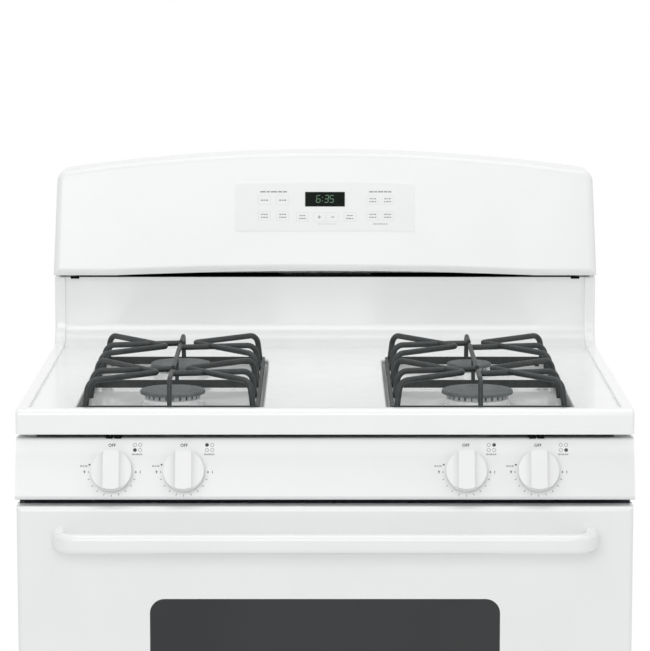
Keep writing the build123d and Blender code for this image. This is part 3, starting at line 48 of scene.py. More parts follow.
# ---------------------------------------------------------------- node materials
class Surface:
    """A principled material whose colour, roughness and relief come from procedural textures."""

    def __init__(self, name, colour, roughness, metallic=0.0, **fixed):
        self.material = bpy.data.materials.new(name)
        self.material.use_nodes = True
        self.nodes = self.material.node_tree.nodes
        self.links = self.material.node_tree.links
        self.shader = self.nodes["Principled BSDF"]
        self.shader.inputs["Metallic"].default_value = metallic
        self.shader.inputs["Roughness"].default_value = roughness
        self.shader.inputs["Base Color"].default_value = (*colour, 1.0)
        for socket, value in fixed.items():
            self.shader.inputs[socket.replace("_", " ")].default_value = value
        self.place = self.nodes.new("ShaderNodeTexCoord").outputs["Object"]
        self.colour = None
        self.height = None

    def stretched(self, scale):
        """Object coordinates stretched by a scale on each axis."""
        mapping = self.nodes.new("ShaderNodeMapping")
        mapping.inputs["Scale"].default_value = scale
        self.links.new(self.place, mapping.inputs["Vector"])
        return mapping.outputs["Vector"]

    def noise(self, scale, detail=3.0, roughness=0.55, place=None):
        node = self.nodes.new("ShaderNodeTexNoise")
        node.inputs["Scale"].default_value = scale
        node.inputs["Detail"].default_value = detail
        node.inputs["Roughness"].default_value = roughness
        self.links.new(place or self.place, node.inputs["Vector"])
        return node.outputs["Fac"]

    def cells(self, scale, output="Distance"):
        node = self.nodes.new("ShaderNodeTexVoronoi")
        node.inputs["Scale"].default_value = scale
        self.links.new(self.place, node.inputs["Vector"])
        return node.outputs[output]

    def along(self, axis):
        """One of the object coordinates, in metres."""
        node = self.nodes.new("ShaderNodeSeparateXYZ")
        self.links.new(self.place, node.inputs["Vector"])
        return node.outputs[axis]

    def maths(self, operation, *values):
        node = self.nodes.new("ShaderNodeMath")
        node.operation = operation
        for value, socket in zip(values, node.inputs):
            self.links.new(value, socket)
        return node.outputs["Value"]

    def spread(self, value, low, high, out_low=0.0, out_high=1.0):
        """A value stretched from one range to another."""
        node = self.nodes.new("ShaderNodeMapRange")
        node.inputs["From Min"].default_value = low
        node.inputs["From Max"].default_value = high
        node.inputs["To Min"].default_value = out_low
        node.inputs["To Max"].default_value = out_high
        self.links.new(value, node.inputs["Value"])
        return node.outputs["Result"]

    def tint(self, factor, low, high):
        """Base colour from one colour to another by a factor."""
        node = self.nodes.new("ShaderNodeMix")
        node.data_type = "RGBA"
        node.inputs["A"].default_value = (*low, 1.0)
        node.inputs["B"].default_value = (*high, 1.0)
        self.links.new(factor, node.inputs["Factor"])
        self.links.new(node.outputs["Result"], self.shader.inputs["Base Color"])
        self.colour = node.outputs["Result"]

    def over(self, factor, colour):
        """Another colour laid over the base colour by a factor."""
        node = self.nodes.new("ShaderNodeMix")
        node.data_type = "RGBA"
        self.links.new(self.colour, node.inputs["A"])
        node.inputs["B"].default_value = (*colour, 1.0)
        self.links.new(factor, node.inputs["Factor"])
        self.links.new(node.outputs["Result"], self.shader.inputs["Base Color"])
        self.colour = node.outputs["Result"]

    def shine(self, factor, low, high):
        """Roughness from low to high by a factor."""
        self.links.new(self.spread(factor, 0.3, 0.7, low, high), self.shader.inputs["Roughness"])

    def relief(self, height, depth):
        """Bump of a depth in metres; a second call adds to the first."""
        node = self.nodes.new("ShaderNodeBump")
        node.inputs["Distance"].default_value = depth
        self.links.new(height, node.inputs["Height"])
        if self.height is not None:
            self.links.new(self.height, node.inputs["Normal"])
        self.height = node.outputs["Normal"]
        self.links.new(self.height, self.shader.inputs["Normal"])


def white_gloss(name, light, dark, shine, peel):
    """Glossy white enamel, almost even in colour, with a faint orange peel."""
    made = Surface(name, light, shine[0], Coat_Weight=0.35, Coat_Roughness=0.08)
    made.tint(made.spread(made.noise(9, 2), 0.35, 0.65), dark, light)
    made.shine(made.noise(40, 4), *shine)
    made.relief(made.noise(260, 2, 0.4), peel)
    return made


# how far from an edge, in metres, each painted shade and painted highlight starts and ends giving way to the
# enamel
LEDGE_FADE, LEDGE_SKIN = 0.002, (0.003, 0.001)
PANEL_HIGHLIGHT_DEPTHS, FLANGE_SHADE_DEPTHS, FLANGE_SHADE_ENDS = (0.022, 0.004), (0.0007, 0.0002), (0.006, 0.03)


def cooktop_enamel(name, ledge_y, ledge_z):
    """White enamel, painted near black as shade on the ledge behind the riser, under the backguard's slit."""
    made = white_gloss(name, (0.905, 0.916, 0.912), (0.894, 0.906, 0.902), (0.19, 0.23), 0.00004)
    behind = made.spread(made.along("Y"), ledge_y, ledge_y + LEDGE_FADE)
    above = made.spread(made.along("Z"), *(ledge_z - depth for depth in LEDGE_SKIN))
    # painted shade: the ledge seen through the slit is darkened to near black
    made.over(made.maths("MULTIPLY", behind, above), (0.012, 0.014, 0.016))
    return made.material


def panel_enamel(name, top_corner):
    """White enamel, darker than the cooktop's as painted shade, with a painted highlight towards its top and
    painted grey shade on the flange under the nose.
    """
    # painted shade: the panel's white is set darker than the cooktop's, though both are the same enamel
    made = white_gloss(name, (0.805, 0.817, 0.813), (0.799, 0.811, 0.807), (0.28, 0.3), 0.00002)
    height = made.along("Z")
    # painted highlight: the bend at the top is lightened where the nose's overhang keeps light off it
    top_highlight = made.spread(height, *(top_corner.z - depth for depth in PANEL_HIGHLIGHT_DEPTHS))
    made.over(top_highlight, (0.93, 0.942, 0.938))
    # painted shade: the flange top under the nose is greyed to darken the gap between panel and nose
    flange = made.spread(height, *(top_corner.z - depth for depth in FLANGE_SHADE_DEPTHS))
    across = made.maths("ABSOLUTE", made.along("X"))
    between = made.spread(across, *(top_corner.x - inset for inset in FLANGE_SHADE_ENDS))
    made.over(made.maths("MULTIPLY", flange, between), (0.42, 0.43, 0.43))
    return made.material


def metal(name, light, dark, roughness, grain_scale, depth, stretch=(1, 1, 1)):
    """Bare metal with a drawn or cast grain."""
    made = Surface(name, light, roughness, metallic=1.0)
    grain = made.noise(grain_scale, 5, 0.6, made.stretched(stretch))
    made.tint(made.spread(made.noise(24, 4), 0.3, 0.7), dark, light)
    made.shine(grain, roughness - 0.07, roughness + 0.1)
    made.relief(grain, depth)
    return made.material


CROWN_FADE = 0.0004


def burner_casting(name, crown_z):
    """Cast aluminium: grey round the ports, lightened below the crown as a painted highlight."""
    made = Surface(name, (0.8, 0.81, 0.81), 0.4, metallic=0.6)
    made.tint(made.spread(made.noise(60, 4), 0.3, 0.7), (0.40, 0.42, 0.415), (0.5, 0.52, 0.515))
    # painted highlight: the base below the crown is lightened to near white
    below = made.spread(made.along("Z"), crown_z + CROWN_FADE, crown_z - CROWN_FADE)
    made.over(below, (0.93, 0.94, 0.94))
    grain = made.noise(700, 5, 0.6)
    made.shine(grain, 0.33, 0.5)
    made.relief(grain, 0.00006)
    return made.material


def plastic(name, light, dark, roughness, texture_scale, depth):
    """Moulded plastic with a fine sparked texture."""
    made = Surface(name, light, roughness)
    made.tint(made.spread(made.noise(30, 3), 0.3, 0.7), dark, light)
    made.shine(made.noise(180, 2), roughness - 0.05, roughness + 0.07)
    made.relief(made.noise(texture_scale, 2, 0.7), depth)
    return made.material


def speckled_enamel(name):
    """Dark oven enamel with pale flecks."""
    made = Surface(name, (0.03, 0.034, 0.05), 0.3, Coat_Weight=0.3, Coat_Roughness=0.15)
    made.tint(made.spread(made.noise(14, 4), 0.3, 0.7), (0.022, 0.025, 0.036), (0.04, 0.046, 0.066))
    made.over(made.spread(made.cells(420), 0.16, 0.1), (0.42, 0.45, 0.5))
    made.shine(made.noise(60, 3), 0.24, 0.4)
    made.relief(made.noise(300, 2, 0.5), 0.0001)
    return made.material


def matt_enamel(name, light, dark):
    """The grates' and caps' matt enamel: a fine sandy grain, paler where it is rubbed."""
    made = Surface(name, light, 0.55)
    made.tint(made.spread(made.noise(55, 5, 0.65), 0.34, 0.66), dark, light)
    made.over(made.spread(made.cells(1500), 0.12, 0.06, 0.0, 0.4), tuple(2.2 * c for c in light))
    made.shine(made.noise(240, 3), 0.42, 0.62)
    made.relief(made.noise(1100, 3, 0.7), 0.00009)
    made.relief(made.noise(70, 2), 0.0003)
    return made.material


def galvanised(name):
    """Zinc spangle on bare sheet steel."""
    made = Surface(name, (0.6, 0.62, 0.64), 0.4, metallic=0.9)
    flakes = made.nodes.new("ShaderNodeSeparateColor")
    made.links.new(made.cells(110, "Color"), flakes.inputs["Color"])
    made.tint(flakes.outputs["Red"], (0.45, 0.47, 0.49), (0.66, 0.68, 0.7))
    dullness = made.spread(flakes.outputs["Green"], 0.0, 1.0, 0.3, 0.55)
    made.links.new(dullness, made.shader.inputs["Roughness"])
    made.relief(made.noise(400, 3), 0.00006)
    return made.material


def tinted_glass(name):
    """Dark window glass, even all over."""
    made = Surface(name, (0.02, 0.022, 0.024), 0.04, IOR=1.45, Transmission_Weight=0.3, Coat_Weight=0.2)
    made.tint(made.spread(made.noise(5, 2), 0.3, 0.7), (0.014, 0.016, 0.018), (0.026, 0.028, 0.03))
    made.shine(made.noise(30, 2), 0.03, 0.06)
    made.relief(made.noise(12, 1), 0.0001)
    return made.material


def fibre(name, light, dark, scale, depth):
    """Loose or woven fibre."""
    made = Surface(name, light, 0.95, Sheen_Weight=0.25)
    strands = made.noise(scale, 6, 0.7, made.stretched((1.0, 6.0, 1.5)))
    made.tint(made.spread(strands, 0.3, 0.7), dark, light)
    made.shine(strands, 0.85, 1.0)
    made.relief(strands, depth)
    return made.material


def circuit_board(name):
    """Green lacquer over copper tracks."""
    made = Surface(name, (0.02, 0.12, 0.05), 0.35)
    tracks = made.nodes.new("ShaderNodeTexBrick")
    tracks.inputs["Scale"].default_value = 120
    tracks.inputs["Mortar Size"].default_value = 0.03
    made.links.new(made.place, tracks.inputs["Vector"])
    made.tint(tracks.outputs["Fac"], (0.02, 0.11, 0.045), (0.06, 0.24, 0.1))
    made.shine(made.noise(90, 3), 0.25, 0.45)
    made.relief(tracks.outputs["Fac"], 0.0001)
    return made.material


def dark_lens(name):
    """The clock's smoked window, with a coating that takes most of its reflection."""
    made = Surface(name, (0.004, 0.008, 0.006), 0.3, Specular_IOR_Level=0.04)
    made.tint(made.spread(made.noise(50, 2), 0.3, 0.7), (0.003, 0.006, 0.004), (0.005, 0.01, 0.007))
    made.shine(made.noise(90, 2), 0.2, 0.3)
    made.relief(made.noise(60, 2), 0.00001)
    return made.material


def lit(name, colour, strength):
    """A glowing segment behind dark glass, a little uneven."""
    made = Surface(name, (0.05, 0.08, 0.06), 0.4)
    made.tint(made.spread(made.noise(300, 2), 0.3, 0.7), (0.03, 0.06, 0.04), (0.08, 0.12, 0.09))
    made.shader.inputs["Emission Color"].default_value = (*colour, 1.0)
    made.shader.inputs["Emission Strength"].default_value = strength
    return made.material


def shaded_flue_sheet(name, unshaded_z, shaded_z):
    """The flue's galvanised sheet, painted black towards its mouth as shade seen through the slit under the
    backguard.
    """
    made = Surface(name, (0.5, 0.52, 0.54), 0.6, Specular_IOR_Level=0.05)
    made.tint(made.spread(made.noise(110, 3), 0.3, 0.7), (0.36, 0.38, 0.4), (0.5, 0.52, 0.54))
    # painted shade: the sheet goes black towards the mouth
    made.over(made.spread(made.along("Z"), unshaded_z, shaded_z), (0.004, 0.005, 0.005))
    made.shine(made.noise(60, 3), 0.6, 0.9)
    made.relief(made.noise(400, 3), 0.00006)
    return made.material


FINISHES = {
    "white_enamel": white_gloss(
        "white_enamel_gloss", (0.86, 0.872, 0.868), (0.846, 0.86, 0.856), (0.18, 0.23), 0.00006
    ).material,
    "white_paint": white_gloss(
        "white_cabinet_paint", (0.868, 0.878, 0.875), (0.856, 0.867, 0.864), (0.3, 0.35), 0.00009
    ).material,
    "galvanised": galvanised("galvanised_sheet"),
    "black_paint": plastic(
        "black_frame_paint", (0.03, 0.03, 0.032), (0.018, 0.018, 0.02), 0.45, 500, 0.00008
    ),
    "oven_enamel": speckled_enamel("speckled_oven_enamel"),
    "insulation_fibre": fibre("insulation_wool", (0.78, 0.7, 0.42), (0.6, 0.5, 0.26), 220, 0.002),
    "rack_wire": metal("rack_chrome", (0.78, 0.79, 0.8), (0.66, 0.67, 0.69), 0.16, 500, 0.00002),
    "aluminised_steel": metal("aluminised_tube", (0.52, 0.53, 0.54), (0.4, 0.4, 0.41), 0.42, 260, 0.00006),
    "burner_aluminium": metal("cast_aluminium", (0.8, 0.81, 0.81), (0.66, 0.67, 0.67), 0.4, 700, 0.00008),
    "cap_enamel": matt_enamel("matt_cap_enamel", (0.12, 0.135, 0.135), (0.085, 0.097, 0.097)),
    "grate_enamel": matt_enamel("matt_grate_enamel", (0.028, 0.034, 0.034), (0.014, 0.018, 0.018)),
    "knob_plastic": plastic(
        "knob_white_plastic", (0.83, 0.836, 0.834), (0.818, 0.825, 0.822), 0.34, 1300, 0.00003
    ),
    "keypad_film": plastic(
        "keypad_white_film", (0.905, 0.911, 0.911), (0.895, 0.902, 0.902), 0.5, 1600, 0.00003
    ),
    "display_window": dark_lens("display_dark_window"),
    "window_glass": tinted_glass("oven_window_glass"),
    "lamp_glass": plastic("lamp_cover_glass", (0.7, 0.68, 0.6), (0.6, 0.58, 0.5), 0.14, 80, 0.0002),
    "white_ceramic": plastic("electrode_ceramic", (0.78, 0.76, 0.7), (0.68, 0.65, 0.58), 0.5, 600, 0.00006),
    "circuit_board": circuit_board("green_board"),
    "module_plastic": plastic(
        "black_module_plastic", (0.03, 0.03, 0.032), (0.02, 0.02, 0.022), 0.5, 800, 0.00006
    ),
    "brass": metal("machined_brass", (0.72, 0.54, 0.25), (0.58, 0.42, 0.18), 0.3, 400, 0.00004, (1, 8, 1)),
    "zinc_steel": metal("zinc_plated_steel", (0.66, 0.66, 0.64), (0.5, 0.5, 0.48), 0.32, 600, 0.00005),
    "gasket_braid": fibre("gasket_weave", (0.09, 0.09, 0.085), (0.035, 0.035, 0.035), 900, 0.0004),
    "gland_rubber": plastic(
        "gland_black_rubber", (0.022, 0.022, 0.022), (0.015, 0.015, 0.015), 0.7, 900, 0.00008
    ),
}
# distances down from the top of the duct and of the heads, and forward from the duct's back
MOUTH_SHADE_START, MOUTH_SHADE_FULL = 0.1, 0.05
CROWN_HEIGHT = 0.0064
LEDGE_START = 0.038
duct_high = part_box("flue_duct")[1]
crown_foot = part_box("burner_heads")[1].z - CROWN_HEIGHT
panel_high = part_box("control_panel")[1]
cooktop_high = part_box("cooktop")[1]
OWN_FINISHES = {
    "flue_duct": shaded_flue_sheet("flue_mouth_painted_shade", duct_high.z - MOUTH_SHADE_START, duct_high.z - MOUTH_SHADE_FULL),
    "burner_heads": burner_casting("burner_casting", crown_foot),
    "control_panel": panel_enamel("panel_white_enamel", panel_high),
    "cooktop": cooktop_enamel("cooktop_white_enamel", duct_high.y - LEDGE_START, cooktop_high.z),
}
for part in record["subparts"]:
    node = part["node"]
    shown = frame["nodes"][node]
    shown.data.materials.clear()
    shown.data.materials.append(OWN_FINISHES.get(node) or FINISHES[part["material_slot"]])

PANEL_INK = plastic("panel_grey_ink", (0.07, 0.072, 0.075), (0.05, 0.052, 0.055), 0.6, 1500, 0.00001)
TICK_INK = plastic("tick_grey_ink", (0.42, 0.425, 0.43), (0.36, 0.365, 0.37), 0.6, 1500, 0.00001)
KEY_INK = plastic("key_grey_ink", (0.26, 0.26, 0.265), (0.21, 0.21, 0.215), 0.6, 1500, 0.00001)
# pale grey, for one printed caption and for key outlines drawn as painted shade
KEY_PALE_INK_AND_SHADE = plastic("key_pale_ink_and_edge_shade", (0.7, 0.705, 0.705), (0.67, 0.675, 0.675), 0.6, 1500, 0.00001)
# matt near-black with no shine, laid as painted shade on the flue's ledge
LEDGE_SHADE_BLACK = plastic("ledge_painted_shade_black", (0.006, 0.007, 0.008), (0.004, 0.005, 0.005), 0.9, 900, 0.00002)
BUMPER_RUBBER = plastic(
    "bumper_matt_rubber", (0.01, 0.011, 0.011), (0.006, 0.007, 0.007), 0.9, 900, 0.00008
)
for dull in (LEDGE_SHADE_BLACK, BUMPER_RUBBER):
    dull.node_tree.nodes["Principled BSDF"].inputs["Specular IOR Level"].default_value = 0.0
SEGMENT = lit("clock_green_segment", (0.46, 1.0, 0.54), 0.24)


# ---------------------------------------------------------------- shared mesh helpers
def mesh_piece(name, form, material, body):
    """Turns a bmesh into a smooth-shaded piece that rides on a body."""
    mesh = bpy.data.meshes.new(name)
    bmesh.ops.recalc_face_normals(form, faces=form.faces)
    form.to_mesh(mesh)
    form.free()
    mesh.materials.append(material)
    for polygon in mesh.polygons:
        polygon.use_smooth = True
    piece = bpy.data.objects.new(name, mesh)
    bpy.context.scene.collection.objects.link(piece)
    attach(piece, body)


INK_LIFT = 0.00006


def flat_frame(origin, out):
    """Matrix of a printed face: X to the right, Y up along the face and Z out of it."""
    out = Vector(out).normalized()
    right = Vector((1, 0, 0))
    up = out.cross(right)
    turn = Matrix((right, up, out)).transposed().to_4x4()
    return Matrix.Translation(Vector(origin) + out * INK_LIFT) @ turn


def front_of(node):
    """Centre and normal of the largest face of a node that looks to the front."""
    mesh = frame["nodes"][node].data
    facing = (polygon for polygon in mesh.polygons if polygon.normal.y < -0.5)
    normal = max(facing, key=lambda polygon: polygon.area).normal.copy()
    low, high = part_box(node)
    reach = max(vertex.co.dot(normal) for vertex in mesh.vertices)
    middle = (low + high) / 2
    middle += normal * (reach - middle.dot(normal))
    return middle, normal


CAPITAL_SHARE = 0.7
BOLDNESS = 0.035


class Print:
    """Flat printed shapes gathered on one face."""

    def __init__(self, place):
        self.place = place
        self.form = bmesh.new()

    def outline(self, points):
        corners = [self.form.verts.new(self.place @ Vector((x, y, 0))) for x, y in points]
        self.form.faces.new(corners)

    def bar(self, x, y, width, height, turn=0.0):
        """A bar about its middle, turned counter-clockwise."""
        cosine, sine = math.cos(turn), math.sin(turn)
        corners = ((-1, -1), (1, -1), (1, 1), (-1, 1))
        self.outline(
            (
                x + across * width / 2 * cosine - along * height / 2 * sine,
                y + across * width / 2 * sine + along * height / 2 * cosine,
            )
            for across, along in corners
        )

    def disc(self, x, y, radius, sides=24):
        steps = [math.tau * n / sides for n in range(sides)]
        self.outline((x + radius * math.cos(a), y + radius * math.sin(a)) for a in steps)

    def ring(self, x, y, radius, width, sides=24):
        for n in range(sides):
            a, b = (math.tau * (n + step) / sides for step in (0, 1))
            inner, outer = radius - width / 2, radius + width / 2
            self.outline(
                (
                    (x + inner * math.cos(a), y + inner * math.sin(a)),
                    (x + outer * math.cos(a), y + outer * math.sin(a)),
                    (x + outer * math.cos(b), y + outer * math.sin(b)),
                    (x + inner * math.cos(b), y + inner * math.sin(b)),
                )
            )

    def frame_line(self, x, y, width, height, line):
        """The outline of a key, a pale line standing in as painted shade along its embossed edge."""
        for side in (-1, 1):
            self.bar(x + side * width / 2, y, line, height + line)
            self.bar(x, y + side * height / 2, width - line, line)

    def label(self, x, y, width, height, runs=(0.2, 0.12, 0.24, 0.16, 0.14)):
        """A caption shown as a row of short dashes, with no letters in it."""
        gap = (1.0 - sum(runs)) / (len(runs) - 1)
        start = -0.5
        for share in runs:
            self.bar(x + (start + share / 2) * width, y, share * width, height)
            start += share + gap

    def word(self, text, x, y, height):
        """Plain letters or digits centred on a point."""
        curve = bpy.data.curves.new("letters", "FONT")
        curve.body = text
        curve.size = height / CAPITAL_SHARE
        curve.offset = height * BOLDNESS
        curve.resolution_u = 3
        holder = bpy.data.objects.new("letters", curve)
        bpy.context.scene.collection.objects.link(holder)
        bpy.context.view_layer.update()
        shaped = holder.evaluated_get(bpy.context.evaluated_depsgraph_get())
        mesh = bpy.data.meshes.new_from_object(shaped)
        points = [vertex.co for vertex in mesh.vertices]
        low = Vector((min(p.x for p in points), min(p.y for p in points)))
        high = Vector((max(p.x for p in points), max(p.y for p in points)))
        shift = Vector((x, y)) - (low + high) / 2
        moved = [self.place @ Vector((p.x + shift.x, p.y + shift.y, 0)) for p in points]
        made = [self.form.verts.new(point) for point in moved]
        for polygon in mesh.polygons:
            self.form.faces.new([made[n] for n in polygon.vertices])
        bpy.data.objects.remove(holder)
        bpy.data.curves.remove(curve)
        bpy.data.meshes.remove(mesh)

    def finish(self, name, material, body="cabinet"):
        """Makes the print a piece whose faces all look out of the printed surface."""
        out = self.place.to_3x3() @ Vector((0, 0, 1))
        for face in self.form.faces:
            face.normal_update()
            if face.normal.dot(out) < 0:
                face.normal_flip()
        mesh = bpy.data.meshes.new(name)
        self.form.to_mesh(mesh)
        self.form.free()
        mesh.materials.append(material)
        piece = bpy.data.objects.new(name, mesh)
        bpy.context.scene.collection.objects.link(piece)
        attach(piece, body)


# ---------------------------------------------------------------- painted shade on the ledge round the flue's mouth
# forward of the duct's back is down on the print
DUCT_SHEET = 0.0012
LEDGE_HALF = 0.345
LEDGE_MIDDLE, LEDGE_DEPTH = -0.0185, 0.052
STRIP_MIDDLES, STRIP_DEPTH = (-0.0405, 0.0042), 0.0075

# black bars on the ledge and along the mouth's front and back edges are painted shade in the slit under the
# backguard
ledge = Print(flat_frame((0, duct_high.y, cooktop_high.z), (0, 0, 1)))
mouth_half = duct_high.x - DUCT_SHEET
ledge_width = LEDGE_HALF - mouth_half
for side in (-1, 1):
    ledge.bar(side * (mouth_half + ledge_width / 2), LEDGE_MIDDLE, ledge_width, LEDGE_DEPTH)
for up in STRIP_MIDDLES:
    ledge.bar(0.0, up, 2 * mouth_half, STRIP_DEPTH)
ledge.finish("flue_ledge_painted_shade", LEDGE_SHADE_BLACK)

# ---------------------------------------------------------------- knob scales
# across and up from the knob's axis, in metres; TICK_STEP in degrees
TICK_RADIUS, TICK_LENGTH, TICK_LINE = 0.0293, 0.0028, 0.0010
TICK_STEP = 18
TICKS_EACH_SIDE = 4
OFF_UP, OFF_HEIGHT = 0.0334, 0.0036
DIGIT_HEIGHT, NINE_ACROSS, ONE_ACROSS = 0.0034, -0.0335, 0.0350
PLAN_ROWS = (("rear", 0.0338), ("front", 0.0274))
PLAN_COLUMNS = (("left", 0.0281), ("right", 0.0346))
BURNER_DOT, BURNER_RING, RING_LINE = 0.0023, 0.0020, 0.0007
CAPTION_HEIGHT = 0.0019
PLAN_CAPTION, PLAN_CAPTION_WIDTH = (0.0309, 0.0220), 0.0125
LIGHTING_CAPTION, LIGHTING_CAPTION_WIDTH = (-0.0345, 0.0074), 0.0090
LIGHTING_DOT, LIGHTING_RADIUS = (-0.0274, 0.0091), 0.0013
END_RADIUS, HIGH_END, LOW_END = 0.0011, (-0.0284, 0.0), (0.0296, 0.0)
SHORT_WORD = (0.3, 0.2, 0.32)

for place in CORNERS:
    turn = joints[f"knob_{place}_turn"]
    dial = flat_frame(turn["pos_m"], turn["axis"])
    marks, pale = Print(dial), Print(dial)
    marks.word("OFF", 0.0, OFF_UP, OFF_HEIGHT)
    for row, up in PLAN_ROWS:
        for side, across in PLAN_COLUMNS:
            if place == f"{side}_{row}":
                marks.disc(across, up, BURNER_DOT)
            else:
                pale.ring(across, up, BURNER_RING, RING_LINE)
    pale.label(*PLAN_CAPTION, PLAN_CAPTION_WIDTH, CAPTION_HEIGHT)
    marks.disc(*LIGHTING_DOT, LIGHTING_RADIUS, sides=5)
    marks.disc(*HIGH_END, END_RADIUS, sides=3)
    marks.disc(*LOW_END, END_RADIUS, sides=5)
    pale.label(*LIGHTING_CAPTION, LIGHTING_CAPTION_WIDTH, CAPTION_HEIGHT, SHORT_WORD)
    marks.word("9", NINE_ACROSS, 0.0, DIGIT_HEIGHT)
    marks.word("1", ONE_ACROSS, 0.0, DIGIT_HEIGHT)
    for step in range(-TICKS_EACH_SIDE, TICKS_EACH_SIDE + 1):
        a = math.radians(-90 + step * TICK_STEP)
        pale.bar(TICK_RADIUS * math.cos(a), TICK_RADIUS * math.sin(a), TICK_LENGTH, TICK_LINE, a)
    marks.finish(f"knob_scale_{place}", PANEL_INK)
    pale.finish(f"knob_ticks_{place}", TICK_INK)

# ---------------------------------------------------------------- keypad and clock
pad_middle, pad_out = front_of("keypad_panel")
pad = flat_frame(pad_middle, pad_out)
lens_middle, lens_out = front_of("display_lens")
lens = flat_frame(lens_middle, lens_out)

# across and up from the middle of the keypad, in metres
KEY_SIZE, KEY_EDGE = (0.0165, 0.0125), 0.0003
KEY_COLUMNS = {"left": (-0.0844, -0.0590), "right": (0.0667, 0.0873)}
KEY_ROWS = (0.0086, -0.0132)
HEADING_UP, HEADING_HEIGHT = 0.0203, 0.0016
HEADING_WIDTHS = {"left": 0.037, "right": 0.031}
MIDDLE_ROW = -0.0150
MIDDLE_CAPTIONS = (-0.0315, 0.0345)
PLUS_ACROSS, MINUS_ACROSS = -0.0080, 0.0107
SIGN_WIDTH, SIGN_LINE = 0.0046, 0.0010
PLUS_ARM_MIDDLE, PLUS_ARM_LENGTH = 0.0014, 0.0018
KEY_CAPTION_HEIGHT = 0.0013
SINGLE_WIDTH, SINGLE_HEIGHT = 0.0100, 0.0014
UPPER_WIDTH, MIDDLE_UPPER_WIDTH, LOWER_WIDTH = 0.0092, 0.0080, 0.0098
UPPER_LINE, LOWER_LINE = 0.0020, -0.0021
FOOT_UP = -0.0247
RIGHT_FOOT_ACROSS, RIGHT_FOOT_SIZE = 0.0770, (0.0205, 0.0009)
MIDDLE_FOOT_ACROSS, MIDDLE_FOOT_SIZE = 0.0026, (0.0260, 0.0011)
LONG_WORD = (0.22, 0.36, 0.24)


def two_lines(across, up, upper_width):
    """A caption of two lines on a key."""
    keys.label(across, up + UPPER_LINE, upper_width, KEY_CAPTION_HEIGHT, SHORT_WORD)
    keys.label(across, up + LOWER_LINE, LOWER_WIDTH, KEY_CAPTION_HEIGHT, LONG_WORD)


# the pale key outlines are painted shade along the embossed key edges; the pale caption among them is print
keys, pale_print_and_edge_shade = Print(pad), Print(pad)
for side, columns in KEY_COLUMNS.items():
    keys.label(sum(columns) / 2, HEADING_UP, HEADING_WIDTHS[side], HEADING_HEIGHT)
    for row, up in enumerate(KEY_ROWS):
        for across in columns:
            pale_print_and_edge_shade.frame_line(across, up, *KEY_SIZE, KEY_EDGE)
            if side == "left" and row == 0:
                keys.label(across, up, SINGLE_WIDTH, SINGLE_HEIGHT, SHORT_WORD)
            else:
                two_lines(across, up, UPPER_WIDTH)
for across in MIDDLE_CAPTIONS:
    pale_print_and_edge_shade.frame_line(across, MIDDLE_ROW, *KEY_SIZE, KEY_EDGE)
    two_lines(across, MIDDLE_ROW, MIDDLE_UPPER_WIDTH)
for across in (PLUS_ACROSS, MINUS_ACROSS):
    pale_print_and_edge_shade.frame_line(across, MIDDLE_ROW, *KEY_SIZE, KEY_EDGE)
    keys.bar(across, MIDDLE_ROW, SIGN_WIDTH, SIGN_LINE)
for end in (1, -1):
    keys.bar(PLUS_ACROSS, MIDDLE_ROW + end * PLUS_ARM_MIDDLE, SIGN_LINE, PLUS_ARM_LENGTH)
keys.label(RIGHT_FOOT_ACROSS, FOOT_UP, *RIGHT_FOOT_SIZE)
pale_print_and_edge_shade.label(MIDDLE_FOOT_ACROSS, FOOT_UP, *MIDDLE_FOOT_SIZE)
keys.finish("keypad_marks", KEY_INK)
pale_print_and_edge_shade.finish("keypad_pale_ink_and_edge_shade", KEY_PALE_INK_AND_SHADE)

SEGMENTS_LIT = {"6": "acdefg", "3": "abcdg", "5": "acdfg"}
# across and up from the middle of the clock window, in metres; SEGMENT_TRIM in line widths
CLOCK_DIGITS = (("6", -0.0092), ("3", 0.0021), ("5", 0.0094))
CLOCK_UP, CLOCK_WIDTH, CLOCK_HEIGHT = 0.0004, 0.0052, 0.0098
SEGMENT_LINE, SEGMENT_TRIM, SEGMENT_SLANT = 0.00064, 1.4, 0.12
COLON_ACROSS, COLON_DOTS, COLON_RADIUS = -0.0036, (-0.0022, 0.0026), 0.0005


def seven_segments(sheet, lit_ones, x):
    """The lit segments of one digit."""
    half = CLOCK_HEIGHT / 2
    short = SEGMENT_LINE * SEGMENT_TRIM
    level = {"a": half, "g": 0.0, "d": -half}
    upright = {"f": (-1, 1), "b": (1, 1), "e": (-1, -1), "c": (1, -1)}
    for name in lit_ones:
        if name in level:
            up = level[name]
            sheet.bar(x + up * SEGMENT_SLANT, CLOCK_UP + up, CLOCK_WIDTH - short, SEGMENT_LINE)
        else:
            side, end = upright[name]
            up = end * half / 2
            across = x + side * CLOCK_WIDTH / 2 + up * SEGMENT_SLANT
            sheet.bar(across, CLOCK_UP + up, SEGMENT_LINE, half - short, -math.atan(SEGMENT_SLANT))


glow = Print(lens)
for digit, across in CLOCK_DIGITS:
    seven_segments(glow, SEGMENTS_LIT[digit], across)
for up in COLON_DOTS:
    glow.disc(COLON_ACROSS, up, COLON_RADIUS, sides=12)
glow.finish("clock_digits", SEGMENT)


# ---------------------------------------------------------------- fasteners
SCREW_RADIUS, SCREW_HEIGHT, SCREW_SIDES = 0.0038, 0.0018, 20
DOME = ((1.0, 0.0), (1.0, 0.35), (0.9, 0.7), (0.65, 0.92), (0.34, 1.0))
RECESS_WIDE, RECESS_NARROW, RECESS_RIM, RECESS_FLOOR = 0.3, 0.14, 0.9, 0.35
BACKWARD = Vector((0, 1, 0))


